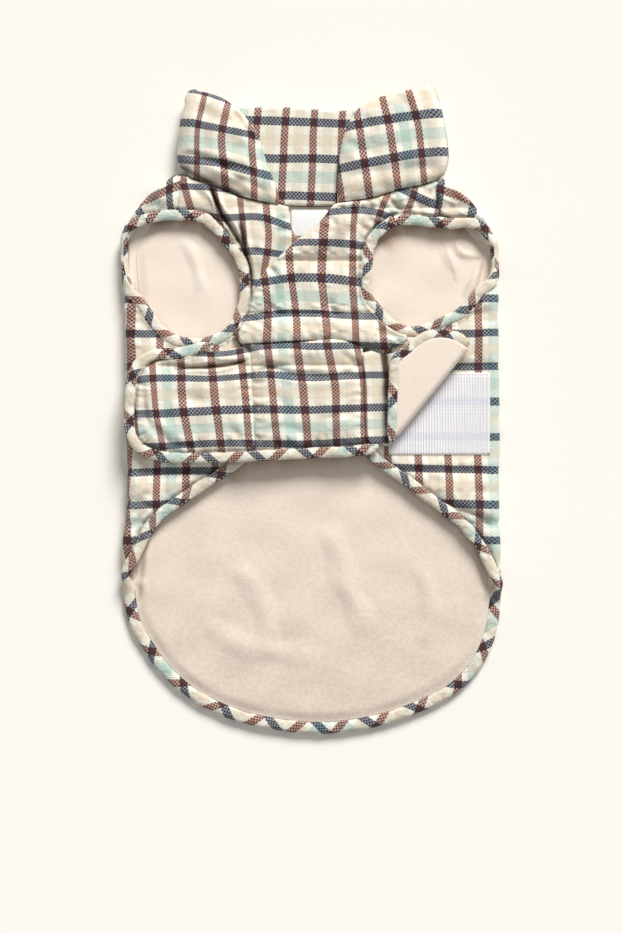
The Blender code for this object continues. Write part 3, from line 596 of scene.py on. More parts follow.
def flap_lining_outline():
    """The inside of the corner, from the top of its turn to the binding."""
    fold = FLAP.start + FLAP_ARC * 0.5
    inner = turned_edge[FLAP.local(turned_edge)[:, 1] > fold + 3]
    span = FLAP.local(inner)[:, 0]
    along = np.linspace(span[-1], span[0], 44)
    crease = FLAP.origin + along[:, None] * FLAP.along + fold * FLAP.across
    return np.vstack([inner, crease])


# %% Collar, tape and label
def collar_rows(table, turn):
    return [(COLLAR.unfold(x, y, turn), y) for x, y in curve(table)]


def collar_outline():
    """Hem of the left half, its front, the top edge round both folds, the right half, the back hem."""
    left = np.array(collar_rows(COLLAR_HEM_L, 1) + collar_rows(COLLAR_WING_L, 1)[1:])
    right = np.array(collar_rows(COLLAR_WING_R, 1) + collar_rows(COLLAR_HEM_R, 1)[1:])
    tip = lambda side, turn, y: (COLLAR.unfold(side, y, turn), y)
    tips_l, tips_r = ([tip(side, 0.75, high), tip(side, 0.5, high + 0.5), tip(side, 0.25, high - 1.5)]
                      for side, high in ((-1, 207.5), (1, 210.0)))
    top = curve(tips_l + COLLAR_BACK_TOP + tips_r[::-1])
    return np.vstack([left, top, right, curve(COLLAR_HEM_BACK)])


def rectangle(box, step=2.4):
    x0, y0, x1, y1 = box
    corners = np.array([(x0, y0), (x1, y0), (x1, y1), (x0, y1), (x0, y0)], float)
    sides = [np.linspace(a, b, max(2, round(np.linalg.norm(b - a) / step) + 1))[:-1]
             for a, b in zip(corners, corners[1:])]
    return np.vstack(sides)


def box_distance(points, box):
    x0, y0, x1, y1 = box
    return np.maximum(np.maximum(x0 - points[:, 0], points[:, 0] - x1),
                      np.maximum(y0 - points[:, 1], points[:, 1] - y1))


print("collar outline has", len(collar_outline()), "points")

# %% [markdown]
# ## Cloth as a mesh
#
# A sheet is triangulated in its flat pattern, made finer, and only then laid on its surface. The
# outer and the inner face share their edge, and both bend to it, so that the rim is round as a
# sewn edge is. A grid of quads would be simpler, but its border would be cut in steps.

# %% Triangles over an outline
RIM_ROWS = (0.35, 1.1)               # rows of points beside the edge, mm from it
RIM_CLEAR = 2.1                      # no other point is nearer to the edge
RIM_ROUND = 1.5                      # the rim rounds over within this
LEAST_THICK = 0.3


def triangulate(outline, step, surface=None, also=()):
    """Flat points, triangles and the outline without its near repeats, at the step in mm."""
    loop = outline[np.linalg.norm(outline - np.roll(outline, 1, 0), axis=1) > 0.3]
    lo, hi = loop.min(0), loop.max(0)
    ys = np.arange(lo[1] + step / 2, hi[1], step * 0.866)
    rows = [np.arange(lo[0] + (k % 2) * step / 2, hi[0], step) for k in range(len(ys))]
    cloud = np.vstack([np.column_stack([xs, np.full(len(xs), y)]) for xs, y in zip(rows, ys)])
    cloud = cloud[inside(cloud, loop)]
    extra = list(also)
    if hasattr(surface, "turn_points"):
        extra.append(surface.turn_points(lo, hi))
    for points in extra:
        tree = KDTree(len(points))
        for i, p in enumerate(points):
            tree.insert((p[0], p[1], 0), i)
        tree.balance()
        far = np.array([tree.find((p[0], p[1], 0))[2] for p in cloud])
        cloud = np.vstack([cloud[far > step * 0.7], points])
    cloud = cloud[inside(cloud, loop)]
    cloud = cloud[distance(cloud, loop, True) > RIM_CLEAR]
    for ring in RIM_ROWS:
        moved = offset(loop, -outward(loop) * ring, True)
        kept = inside(moved, loop) & (distance(moved, loop, True) > ring * 0.9)
        cloud = np.vstack([cloud, moved[kept]])
    n = len(loop)
    border = [(i, (i + 1) % n) for i in range(n)]
    marks = [Vector(p) for p in np.vstack([loop, cloud])]
    found = delaunay_2d_cdt(marks, border, [list(range(n))], 1, 1e-5)
    flat = np.array([tuple(v) for v in found[0]])
    tris = np.array([tuple(f) for f in found[2]])
    used, tris = np.unique(tris, return_inverse=True)
    return flat[used], tris.reshape(-1, 3), loop


# %% Finer triangles and their rim
def sides_of(tris):
    """All sides as pairs of points, lower number first: first sides, then second, then third."""
    return np.sort(np.vstack([tris[:, [0, 1]], tris[:, [1, 2]], tris[:, [2, 0]]]), axis=1)


def finer(flat, tris):
    """Each triangle as four, with new points at the middles of its sides."""
    unique, where = np.unique(sides_of(tris), axis=0, return_inverse=True)
    mids = where.reshape(3, -1).T + len(flat)
    flat = np.vstack([flat, flat[unique].mean(1)])
    a, b, c = tris.T
    ab, bc, ca = mids.T
    parts = ((a, ab, ca), (ab, b, bc), (ca, bc, c), (ab, bc, ca))
    return flat, np.vstack([np.column_stack(part) for part in parts])


def rim_points(tris):
    """Points of the sides that only one triangle has."""
    unique, count = np.unique(sides_of(tris), axis=0, return_counts=True)
    return np.unique(unique[count == 1])


# %% An object from arrays
def make_mesh(name, verts, faces, uv, materials, which=None, shade_amount=None):
    """An object of triangles or quads, with fabric coordinates, amounts of painted shade and materials."""
    mesh = bpy.data.meshes.new(name)
    faces = faces.tolist() if isinstance(faces, np.ndarray) else faces
    mesh.from_pydata((np.asarray(verts) * MM).tolist(), [], faces)
    if uv is not None:
        first = mesh.uv_layers.new(name="fabric")
        first.data.foreach_set("uv", np.asarray(uv, np.float32).ravel())
        # The second map, named fold, carries the amount of painted shade as its first value
        second = np.zeros((len(mesh.loops), 2), np.float32)
        if shade_amount is not None:
            second[:, 0] = shade_amount
        mesh.uv_layers.new(name="fold").data.foreach_set("uv", second.ravel())
    for material in materials:
        mesh.materials.append(material)
    if which is not None:
        mesh.polygons.foreach_set("material_index", np.asarray(which, np.int32))
    mesh.shade_smooth()
    obj = bpy.data.objects.new(name, mesh)
    bpy.context.scene.collection.objects.link(obj)
    return obj


# %% A sheet with an outer face, an inner face and a round rim
def cloth(name, surface, outline, low, high, step, levels, charts, materials, also=(), dark=None):
    """low and high are heights along the outer direction, charts gives fabric coordinates, and
    dark gives the amount of painted shade at each point, for folds and recesses too narrow for the mesh to
    shade."""
    flat, tris, loop = triangulate(outline, step, surface, also)
    for _ in range(levels):
        flat, tris = finer(flat, tris)
    edge = distance(flat, loop, True)
    rim = rim_points(tris)
    edge[rim] = 0
    place, out = surface.place(flat)
    bottom = low(flat, edge)
    top = np.maximum(high(flat, edge), bottom + LEAST_THICK)
    middle, round_off = (bottom + top) / 2, dome(edge / RIM_ROUND) ** 0.8
    outer = place + (middle + (top - middle) * round_off)[:, None] * out
    inner = place + (middle + (bottom - middle) * round_off)[:, None] * out
    outer[:, 2], inner[:, 2] = np.maximum(outer[:, 2], 0), np.maximum(inner[:, 2], 0)
    shared = np.full(len(flat), -1)
    shared[rim] = rim
    free = np.flatnonzero(shared < 0)
    shared[free] = len(flat) + np.arange(len(free))
    below = shared[tris][:, ::-1]
    verts = np.vstack([outer, inner[free]])
    faces = np.vstack([tris, below])
    normal = np.cross(outer[tris[:, 1]] - outer[tris[:, 0]], outer[tris[:, 2]] - outer[tris[:, 0]])
    mirrored = np.sum(normal * out[tris[:, 0]]) < 0
    if mirrored:
        faces = faces[:, ::-1]
    centre = flat[tris].mean(1)
    uv = charts(flat[tris].reshape(-1, 2), np.repeat(centre, 3, axis=0)).reshape(-1, 3, 2)
    uv = np.vstack([uv, uv[:, ::-1]])
    shade_amount = (dark(flat) if dark else np.zeros(len(flat)))[tris]
    shade_amount = np.vstack([shade_amount, shade_amount[:, ::-1]])
    if mirrored:
        uv, shade_amount = uv[:, ::-1], shade_amount[:, ::-1]
    which = np.repeat([0, len(materials) - 1], len(tris))
    obj = make_mesh(name, verts, faces, uv.reshape(-1, 2), materials, which, shade_amount.ravel())
    print(f"{name}: {len(faces)} triangles")
    return obj


# %% [markdown]
# ## Creases
#
# Padded cloth shows soft troughs where it folds and short puckers where thread pulls it in. Both
# are added to the height of a sheet. A trough fades at both ends and is uneven along its length,
# as real ones are. Sculpting would give the same, but it couldn't be changed later by a number.
# The narrowest folds are finer than the mesh, so a second map holds the amount of painted shade
# in them, and the material darkens there.

# %% Troughs, painted shade in folds, and puckers
def crease_frame(points, rows, fade):
    """Gap to a crease, run along it, and a factor that fades at both of its ends."""
    line = curve(rows, False, 2.0)
    gap, along = measure(points, line)
    return gap, along, smooth(along / fade) * smooth((run_of(line)[-1] - along) / fade)


def trough(points, rows, width, depth, seed=0, fade=9.0):
    """Soft valley along a line with a low bank on either side; a narrow one has steep walls."""
    gap, along, ends = crease_frame(points, rows, fade)
    uneven = 1 + 0.28 * ripple(along, 24, seed + 11)
    wide = width * (1 + 0.25 * ripple(along, 31, seed + 12))
    bank = 0.32 * np.exp(-((gap - 2.1 * wide) / (1.1 * wide)) ** 2)
    shape = np.exp(-(gap / wide) ** (4 if width < 1.6 else 2)) - bank
    return -depth * ends * uneven * shape


def creased(high, points, table, share=1):
    """A height with the troughs of a table of line, width, depth and seed."""
    for rows, width, depth, seed in table:
        high = high + share * trough(points, rows, width, depth, seed)
    return high


def shade(points, creases):
    """Amount of painted shade at each point, 0 to 1, for a table of line, width and amount."""
    value = np.zeros(len(points))
    for rows, width, amount in creases:
        gap, along, ends = crease_frame(points, rows, 6)
        ends = ends * (1 + 0.25 * ripple(along, 13, 5))
        value = np.maximum(value, amount * ends * np.exp(-(gap / width) ** 2))
    return np.clip(value, 0, 0.95)


def puckers(points, outline, seed, amount, pitch, reach):
    """Short creases that run away from the edge of a sheet."""
    gap, along = measure(points, outline, True)
    near = (gap / reach) * np.exp(1 - gap / reach) * (gap < reach * 5)
    return amount * near * ripple(along + 0.6 * np.sin(gap / 3) * gap * 0.2, pitch, seed)


print("trough of 2 mm at its middle:",
      round(float(trough(np.array([[30.0, 0.0]]), [(0, 0), (60, 0)], 3, 2)[0]), 2))

# %% [markdown]
# ## How the check lies on the cloth
#
# For each piece a few places on each line are charted, and every fabric coordinate comes from
# them: a brown line runs where u is a whole number, and a navy line where v is one. Between the
# lines lie bands, one pale green in every four. A picture would fix one layout; this works at any
# size.

# %% Chart: places on numbered lines give u and v everywhere
class Chart:
    """A flat slope through the charted places, with soft bumps for what it leaves over."""

    def __init__(self, brown, navy, soft=26.0):
        self.soft = soft
        self.parts = [self.fit(brown), self.fit(navy)]

    def fit(self, lines):
        at = np.array([p for row in lines.values() for p in spots(*row)], float)
        value = np.array([index for index, row in lines.items() for _ in row], float)
        base = np.column_stack([np.ones(len(at)), at])
        slope = np.linalg.lstsq(base, value, rcond=None)[0]
        near = self.bump(at, at)
        weight = np.linalg.solve(near + 0.25 * np.eye(len(at)), value - base @ slope)
        return at, slope, weight

    def bump(self, a, b):
        gap = (a[:, None, :] - b[None, :, :]) ** 2
        return np.exp(-gap.sum(2) / self.soft ** 2)

    def __call__(self, points):
        points = np.asarray(points, float)[:, :2]
        out = []
        for at, slope, weight in self.parts:
            base = np.column_stack([np.ones(len(points)), points])
            out.append(base @ slope + self.bump(points, at) @ weight)
        return np.column_stack(out)


# %% Places on the lines, numbered from a pale green band
CHECK_BAND = Chart(
    brown={-1: [(134, 390), (136, 415), (139, 435)], 0: [(153, 375), (155, 395), (157, 415), (161, 435),
        (164, 445)], 1: [(183, 365), (183, 390), (185, 410), (188, 430), (192, 447)], 2: [(212, 365),
        (214, 380), (215, 395), (217, 410), (220, 430), (222, 445)], 3: [(243, 365), (245, 385), (247, 400),
        (248, 420), (250, 445)], 4: [(267, 350), (271, 370), (272, 390), (273, 400), (275, 420),
        (277, 445)], 5: [(298, 350), (301, 370), (303, 390), (305, 410), (307, 430), (308, 442)],
        6: [(327, 350), (331, 365), (334, 380), (336, 400), (337, 430), (336, 442)], 7: [(357, 350),
        (362, 370), (364, 385), (364, 400), (362, 420), (365, 440)], 8: [(382, 355), (385, 375)]},
    navy={-2: [(205, 357), (225, 355.5), (244, 353), (262, 347.5), (300, 347), (340, 347), (385, 347)],
        -1: [(150, 379), (200, 377.5), (240, 375.5), (265, 375), (285, 376.5), (300, 379), (320, 378.5),
        (350, 376.5), (380, 375)], 0: [(150, 415), (200, 413.5), (245, 411), (290, 410.5), (330, 409.5),
        (380, 409)], 1: [(170, 446), (205, 443.5), (235, 443), (270, 444), (300, 444.5), (340, 443.5),
        (370, 440)]})
CHECK_CHEST_R = Chart(
    brown={-1: [(233, 330), (237, 340)], 0: [(266, 290), (270, 305), (268, 320), (267, 342)],
        1: [(288, 255), (290, 265), (291, 280), (293, 295), (295, 310), (297, 325), (297, 342)],
        2: [(327, 215), (323, 225), (322, 240), (323, 260), (322, 280), (324, 300), (325, 315), (326, 330),
        (328, 345)], 3: [(355, 212), (354, 230), (355, 245), (353, 260), (351, 272), (350, 280), (355, 295),
        (356, 320), (355, 340)], 4: [(391, 190), (385, 207), (380, 217), (372, 228), (380, 320), (382, 335),
        (384, 345)], 5: [(414, 195), (408, 210), (400, 217)]},
    navy={-3: [(392, 189), (405, 193), (417, 197), (428, 204), (437, 212)], -2: [(335, 214), (350, 212),
        (365, 210), (375, 213), (385, 217)], -1: [(300, 243), (320, 244), (340, 245), (355, 246),
        (366, 247)], 0: [(255, 286), (262, 284), (275, 281), (290, 280), (320, 279), (345, 280),
        (358, 284)], 1: [(243, 323), (255, 317), (270, 315), (290, 314.5), (310, 314.5), (325, 314),
        (335, 317), (345, 318.5), (360, 318), (370, 317)], 2: [(240, 347), (270, 346.5), (300, 345.5),
        (330, 342), (350, 345), (370, 347), (390, 347.5)]})
CHECK_CHEST_L = Chart(
    brown={0: [(266, 205), (268, 225), (270, 240), (269, 255), (265, 265), (262, 272)], -1: [(240, 200),
        (240, 225), (243, 245), (246, 252)], -2: [(214, 192), (218, 208), (224, 222)], -3: [(183, 183),
        (188, 200), (193, 212)]},
    navy={-3: [(185, 190), (200, 188), (212, 189), (225, 191), (235, 193)], -2: [(208, 215), (222, 222),
        (228, 221), (240, 217), (255, 216), (265, 219), (275, 223), (285, 227), (290, 230)],
        -1: [(245, 254), (265, 254), (280, 253)]})
CHECK_COLLAR_BACK = Chart(
    brown={1: [(258, 110), (258, 120)], 2: [(287, 110), (285, 125), (283, 160), (281, 200)], 3: [(315, 115),
        (313, 150), (311, 200)], 4: [(343, 112), (341, 125)]},
    navy={-1: [(260, 121.5), (300, 123), (330, 124.5)], 0: [(270, 160), (300, 159.5), (330, 160.5)],
        1: [(290, 197), (310, 197.5), (335, 198.5)]})
CHECK_COLLAR_L = Chart(
    brown={1: [(183.5, 105), (181, 130), (178.5, 155)], 2: [(207, 96), (203, 105), (197, 125), (195, 140),
        (197, 150), (200, 157), (198, 170), (196, 182)], 3: [(229, 109), (226, 120), (223, 135), (222, 150),
        (224, 165), (226, 188)], 4: [(251, 125), (252, 140), (253, 150), (253, 165), (254, 185),
        (256, 200)]},
    navy={-1: [(190, 91.5), (206, 93), (218, 98.5), (228, 105)], 0: [(180, 124), (200, 127), (225, 131.5),
        (245, 135)], 1: [(180, 162), (200, 163), (215, 164), (230, 168), (250, 174), (265, 177)]})
CHECK_COLLAR_R = Chart(
    brown={-1: [(357, 115), (358, 125), (361, 145), (364, 165), (368, 195)], 0: [(381, 100), (385, 112),
        (389, 130), (392, 150), (395, 170), (398, 188)], 1: [(407, 93), (412, 108), (417, 125), (420, 145),
        (421, 160), (423, 183)], 2: [(436, 88), (440, 110), (443, 135), (446, 160), (447, 175)]},
    navy={0: [(355, 128), (370, 125), (390, 121.5), (410, 119), (430, 117.5)], 1: [(340, 171), (355, 168),
        (375, 164), (400, 159), (420, 156), (445, 154)]})
CHECK_WING_L = Chart(
    brown={-1: [(133, 310), (133, 340), (134, 365), (133, 455), (131, 480), (130, 500)], 0: [(160, 335),
        (161, 347), (158, 460), (157, 480), (157, 500)], 1: [(188, 460), (187, 480)]},
    navy={-6: [(130, 299.5), (160, 299.5)], -5: [(126, 334.5), (160, 335)], -4: [(130, 366.5),
        (180, 366.5)], -3: [(130, 402), (180, 402)], -2: [(130, 437), (180, 437)], -1: [(127, 474),
        (160, 472), (200, 471), (215, 470)], 0: [(135, 505), (165, 503)], 1: [(126, 540), (150, 540)]})
CHECK_WING_R = Chart(
    brown={-2: [(417, 457), (418, 470), (419, 480)], -1: [(447, 455), (448, 470), (449, 490)],
        0: [(477, 305), (477, 330), (478, 345), (477, 370), (476, 455), (478, 475), (478, 500),
        (479, 515)]},
    navy={-6: [(470, 299.5), (498, 299.5)], -5: [(478, 336), (497, 331)], -4: [(450, 366.5), (490, 366.5)],
        -3: [(450, 402), (490, 402)], -2: [(450, 437), (490, 437)], -1: [(400, 468), (450, 469),
        (500, 470)], 0: [(450, 503), (495, 505)], 1: [(480, 540), (498, 540)]})
CHECK_SHOULDER_L = Chart(
    brown={2: [(150, 201), (165, 194), (178, 188)], 3: [(162, 229), (180, 222)]},
    navy={0: [(172, 180), (170, 195), (171, 210)], 1: [(140, 208), (141, 216)], 2: [(125, 235),
        (126, 240)]}, soft=8.0)
CHECK_SHOULDER_R = Chart(
    brown={1: [(446, 194), (458, 198), (468, 203)], 2: [(436, 222), (456, 230)]},
    navy={-1: [(440, 183), (439, 200)], 0: [(472, 208), (470, 218)], 1: [(494, 235), (495, 241)]}, soft=8.0)
print("line -1 of the left wing is at u =", np.round(CHECK_WING_L(np.array([(-115.5, 46.0)]))[0], 2))


# %% From pattern points to fabric coordinates
SHOULDER_Y = 111.0                   # above it the upper layer is the shoulder, a piece of its own
LINES_ACROSS = [16, 0]               # brown lines of the lower layer between the two wings' numbers


def opened(surface, uv, side):
    """Places of pattern points as if the upper layer went on flat past its fold."""
    fold = surface.fold(uv[:, 1], side)
    return np.column_stack([2 * fold + side * surface.arc - uv[:, 0], uv[:, 1]])


def back_fabric(points, centre):
    """The wings' charts, joined by even cloth across the lower layer."""
    y = points[:, 1]
    starts = [BACK.fold(y, side) + side * BACK.arc for side in (-1, 1)]
    at_fold = [CHECK_WING_L(np.column_stack([BACK.fold(y, -1), y])),
               CHECK_WING_R(np.column_stack([BACK.fold(y, 1), y])) - LINES_ACROSS]
    t = ((points[:, 0] - starts[0]) / (starts[1] - starts[0]))[:, None]
    out = at_fold[0] * (1 - t) + at_fold[1] * t
    left, right = points[:, 0] < starts[0], points[:, 0] > starts[1]
    out[left] = CHECK_WING_L(opened(BACK, points[left], -1))
    out[right] = CHECK_WING_R(opened(BACK, points[right], 1)) - LINES_ACROSS
    shoulder = (BACK.turned(centre) > 0.5) & (centre[:, 1] > SHOULDER_Y)
    for side, chart in ((-1, CHECK_SHOULDER_L), (1, CHECK_SHOULDER_R)):
        rows = shoulder & (centre[:, 0] * side > 0)
        out[rows] = chart(opened(BACK, points[rows], side))
    return out


def collar_fabric(points, centre):
    """One chart for the back of the collar and one for each half that lies over it."""
    out = CHECK_COLLAR_BACK(points)
    over = COLLAR.turned(centre) > 0.5
    for side, chart in ((-1, CHECK_COLLAR_L), (1, CHECK_COLLAR_R)):
        rows = over & (centre[:, 0] * side > 0)
        out[rows] = chart(opened(COLLAR, points[rows], side))
    return out


def charted(chart):
    """A chart in the form that cloth() asks for, where the middles of the triangles aren't needed."""
    return lambda points, centre: chart(points)


PLAIN_UNIT = 20.0                    # mm for 1 of u and v on fleece, tape and label


def plain_fabric(points, centre):
    return points / PLAIN_UNIT


# %% [markdown]
# ## Materials
#
# All the cloth is drawn by numbers from the fabric coordinates: lines, bands, yarns that pass
# over and under each other, and the nap of the fleece. A small class wraps a socket so that the
# sums read as sums, and one method adds any other node. The fibres are too small to be modelled.

# %% Wire and Paint: a socket with the usual signs, and a material built line by line
class Wire:
    """One value of a material that changes over the surface."""

    def __init__(self, paint, socket):
        self.paint, self.socket = paint, socket

    def maths(self, operation, *values):
        made = self.paint.node("ShaderNodeMath", {"operation": operation}, dict(enumerate(values)))
        return Wire(self.paint, made.outputs[0])

    def __add__(self, other):
        return self.maths("ADD", self, other)

    __radd__ = __add__

    def __mul__(self, other):
        return self.maths("MULTIPLY", self, other)

    __rmul__ = __mul__

    def __sub__(self, other):
        return self.maths("SUBTRACT", self, other)

    def __rsub__(self, other):
        return self.maths("SUBTRACT", other, self)

    def size(self):
        return self.maths("ABSOLUTE", self)

    def part(self):
        return self.maths("FRACT", self)

    def sine(self):
        return self.maths("SINE", self)

    def rise(self, start, end):
        """0 before start, 1 after end, smooth between them."""
        made = self.paint.node("ShaderNodeMapRange", {"interpolation_type": "SMOOTHSTEP"},
                               {"Value": self, "From Min": start, "From Max": end})
        return Wire(self.paint, made.outputs[0])

    def within(self, half, soft):
        """1 where the value is below half, 0 above it, with a soft edge on either side of half."""
        return 1 - self.rise(half - soft, half + soft)


class Paint:
    """A material with one Principled shader; constants are its fixed sockets."""

    def __init__(self, name, **constants):
        self.material = bpy.data.materials.new(name)
        self.material.use_nodes = True
        self.tree = self.material.node_tree
        self.shader = self.tree.nodes["Principled BSDF"]
        for key, value in constants.items():
            self.shader.inputs[key.replace("_", " ")].default_value = value

    def node(self, kind, settings=None, sockets=None):
        """Any node: its type, its settings, then values or wires for its sockets."""
        made = self.tree.nodes.new(kind)
        for key, value in (settings or {}).items():
            setattr(made, key, value)
        for key, value in (sockets or {}).items():
            self.feed(made.inputs[key], value)
        return made

    def feed(self, socket, value):
        if isinstance(value, Wire):
            self.tree.links.new(value.socket, socket)
        else:
            socket.default_value = value

    def to(self, **wires):
        for key, value in wires.items():
            self.feed(self.shader.inputs[key.replace("_", " ")], value)

    def fabric(self, name="fabric"):
        """u and v of the fabric; the map named fold holds the amount of painted shade as its first value."""
        made = self.node("ShaderNodeUVMap", {"uv_map": name})
        parts = self.node("ShaderNodeSeparateXYZ", sockets={0: Wire(self, made.outputs[0])})
        return Wire(self, parts.outputs[0]), Wire(self, parts.outputs[1])

    def place(self):
        return Wire(self, self.node("ShaderNodeTexCoord").outputs["Object"])

    def noise(self, scale, detail=2.0, where=None):
        sockets = {"Vector": where or self.place(), "Scale": scale, "Detail": detail}
        return Wire(self, self.node("ShaderNodeTexNoise", {}, sockets).outputs[0])

    def stretch(self, x, y):
        made = self.node("ShaderNodeCombineXYZ", {}, {0: x, 1: y})
        return Wire(self, made.outputs[0])

    def mix(self, factor, a, b):
        made = self.node("ShaderNodeMix", {"data_type": "RGBA"}, {0: factor, 6: a, 7: b})
        return Wire(self, made.outputs[2])

    def bump(self, height, distance, strength):
        sockets = {"Height": height, "Distance": distance, "Strength": strength}
        self.to(Normal=Wire(self, self.node("ShaderNodeBump", {}, sockets).outputs[0]))


def colour(red, green, blue):
    """Linear colour from values between 11 and 255 as a screen shows them."""
    return (*(((value / 255 + 0.055) / 1.055) ** 2.4 for value in (red, green, blue)), 1.0)


print("mid grey is", round(colour(128, 128, 128)[0], 3))


# %% Woven check, for the panels and for the bias binding
LINE_U, LINE_V = 19.5, 22.2          # from one line to the next, mm
BROWN_HALF, NAVY_HALF = 2.5, 2.55    # half widths of the lines, mm
BAND_U_HALF, BAND_V_HALF = 3.35, 3.55
YARNS = 2.45                         # two neighbouring yarns, mm
FULL_TURN = 2 * math.pi


def check_cloth(name, crumple):
    """Warp and weft yarns lie on top by turns; a yarn's colour depends on where it runs. Painted shade
    darkens the cloth in narrow folds and recesses.
    """
    paint = Paint(name, Roughness=0.86, Sheen_Weight=0.1, Sheen_Roughness=0.5, Specular_IOR_Level=0.25)
    u, v = paint.fabric()
    u = u + (paint.noise(55.0) - 0.5) * 0.05
    v = v + (paint.noise(48.0) - 0.5) * 0.05
    from_brown = ((u + 0.5).part() - 0.5).size() * LINE_U
    from_navy = ((v + 0.5).part() - 0.5).size() * LINE_V
    turn = FULL_TURN / YARNS
    cross = (u * (LINE_U * turn)).sine() * (v * (LINE_V * turn)).sine()
    over = cross.rise(-0.3, 0.3) - 0.5
    brown, navy = from_brown.within(BROWN_HALF, 0.25), from_navy.within(NAVY_HALF, 0.25)
    green_u = ((u * 0.25).part() - 0.125).size().within(0.042, 0.006)
    green_v = ((v * 0.25).part() - 0.125).size().within(0.039, 0.006)
    band_u = (LINE_U / 2 - from_brown).within(BAND_U_HALF, 0.35)
    band_v = (LINE_V / 2 - from_navy).within(BAND_V_HALF, 0.35)
    cream, tan, mint = colour(241, 240, 228), colour(226, 210, 187), colour(172, 202, 194)
    brown_yarn, navy_yarn = colour(118, 50, 36), colour(34, 54, 82)
    # The second of these is the colour of painted shade for narrow folds, recesses and gaps
    crossing, fold_shade = colour(58, 40, 46), colour(44, 34, 30)
    streak_u = paint.noise(1.0, 2.0, paint.stretch(u * 42, v * 1.5))
    streak_v = paint.noise(1.0, 2.0, paint.stretch(u * 1.5, v * 48))
    base = paint.mix(streak_u.rise(0.35, 0.75) * 0.3, cream, colour(244, 228, 212))
    base = paint.mix(streak_v.rise(0.4, 0.8) * 0.25, base, colour(226, 236, 230))
    base = paint.mix(band_u * (0.56 + 0.34 * over), base, paint.mix(green_u, tan, mint))
    base = paint.mix(band_v * (0.56 - 0.34 * over), base, paint.mix(green_v, tan, mint))
    base = paint.mix(brown * (0.78 + 0.5 * over), base, brown_yarn)
    base = paint.mix(navy * (0.84 - 0.38 * over), base, paint.mix(brown, navy_yarn, crossing))
    # Painted shade: the first value of the fold map mixes the cloth towards the shade colour
    paint.to(Base_Color=paint.mix(paint.fabric("fold")[0], base, fold_shade))
    ridges = 1 - (paint.noise(110.0, 1.5) - 0.5).size() * 2 - (paint.noise(230.0, 1.0) - 0.5).size()
    paint.bump(ridges + over.size() * 0.3 + streak_u * 0.15, crumple, 0.8)
    return paint.material


SHELL = check_cloth("plaid_shell", 0.0004)
BIAS = check_cloth("bias_binding", 0.0011)


# %% Fleece, tape, label and thread
def fleece_cloth():
    """Short nap, with painted shade that darkens it towards the hem, painted shade in narrow folds and a
    warm painted shadow where it runs in under an edge.
    """
    paint = Paint("fleece", Roughness=0.95, Sheen_Weight=0.3, Sheen_Roughness=0.6, Specular_IOR_Level=0.1)
    nap, tuft, cloud = paint.noise(1500.0, 3.0), paint.noise(420.0, 3.0), paint.noise(26.0)
    along = Wire(paint, paint.node("ShaderNodeSeparateXYZ", {}, {0: paint.place()}).outputs[1])
    # Painted shade: darker towards the hem, by the height in the object
    base = paint.mix(along.rise(-0.24, 0.09), colour(216, 199, 184), colour(245, 231, 217))
    base = paint.mix(tuft.rise(0.3, 0.7) * 0.3, base, colour(250, 240, 228))
    base = paint.mix(cloud.rise(0.35, 0.65) * 0.2, base, colour(236, 220, 204))
    # Painted warm shade and shadow from the fold map
    base = paint.mix(paint.fabric("fold")[0], base, colour(148, 102, 58))
    paint.to(Base_Color=base)
    paint.bump(nap + tuft * 0.8, 0.0003, 0.5)
    return paint.material


TAPE_BANDS = 22.75                   # from one bluish band of the tape to the next, mm


def tape_cloth():
    """Fine ribs one way, finer ones across them, and faint bluish bands."""
    paint = Paint("tape", Roughness=0.8, Sheen_Weight=0.1, Specular_IOR_Level=0.3)
    u, v = paint.fabric()
    rib = (u * (PLAIN_UNIT * FULL_TURN / 1.8)).sine()
    cross = (v * (PLAIN_UNIT * FULL_TURN / 0.9)).sine()
    base = paint.mix(rib.rise(-1.0, 1.0), colour(242, 241, 245), colour(248, 247, 249))
    row = ((v * (PLAIN_UNIT / TAPE_BANDS) + 0.236).part() - 0.5).size() * TAPE_BANDS
    base = paint.mix(row.within(2.6, 0.6) * 0.4, base, colour(208, 215, 234))
    cloud = paint.noise(1.0, 2.0, paint.stretch(u * 9, v * 0.8))
    paint.to(Base_Color=paint.mix(cloud.rise(0.35, 0.7) * 0.4, base, colour(226, 228, 236)))
    paint.bump(rib + cross * 0.4, 0.00012, 0.5)
    return paint.material


def plain_cloth(name, tint, pitch):
    """Smooth satin of one tint; pitch is from one yarn to the next."""
    paint = Paint(name, Roughness=0.6, Sheen_Weight=0.15, Specular_IOR_Level=0.35)
    u, v = paint.fabric()
    turn = FULL_TURN / pitch
    paint.to(Base_Color=paint.mix(paint.noise(300.0) * 0.12, colour(*tint), colour(214, 214, 216)))
    paint.bump((u * PLAIN_UNIT * turn).sine() * (v * PLAIN_UNIT * turn).sine(), 0.00005, 0.5)
    return paint.material


def thread_paint(name, tint):
    paint = Paint(name, Roughness=0.55, Sheen_Weight=0.2, Specular_IOR_Level=0.3)
    paint.to(Base_Color=paint.mix(paint.noise(700.0) * 0.3, colour(*tint), colour(205, 190, 170)))
    return paint.material


FLEECE, TAPE_MAT = fleece_cloth(), tape_cloth()
SATIN = plain_cloth("label", (243, 245, 246), 0.7)
THREAD = thread_paint("cream_thread", (236, 226, 206))
ROSE = thread_paint("rose_thread", (222, 190, 186))
HOOK = thread_paint("hook_plastic", (244, 244, 248))
print("materials:", len(bpy.data.materials))

# %% [markdown]
# ## Back, wings and lining
#
# One quilted panel makes the back and both wings: the shell, wadding and lining are sewn through
# along level lines and puff up between them. Where it lies on the table its outer side is pressed
# flat, so there the lines are only grooves. The hook tape presses the padding of the right wing.

# %% Puffs between the quilting lines
def from_quilting(uv):
    """Distance to the nearest quilting line."""
    return np.abs((uv[:, 1] - QUILT_START + QUILT_PITCH / 2) % QUILT_PITCH - QUILT_PITCH / 2)


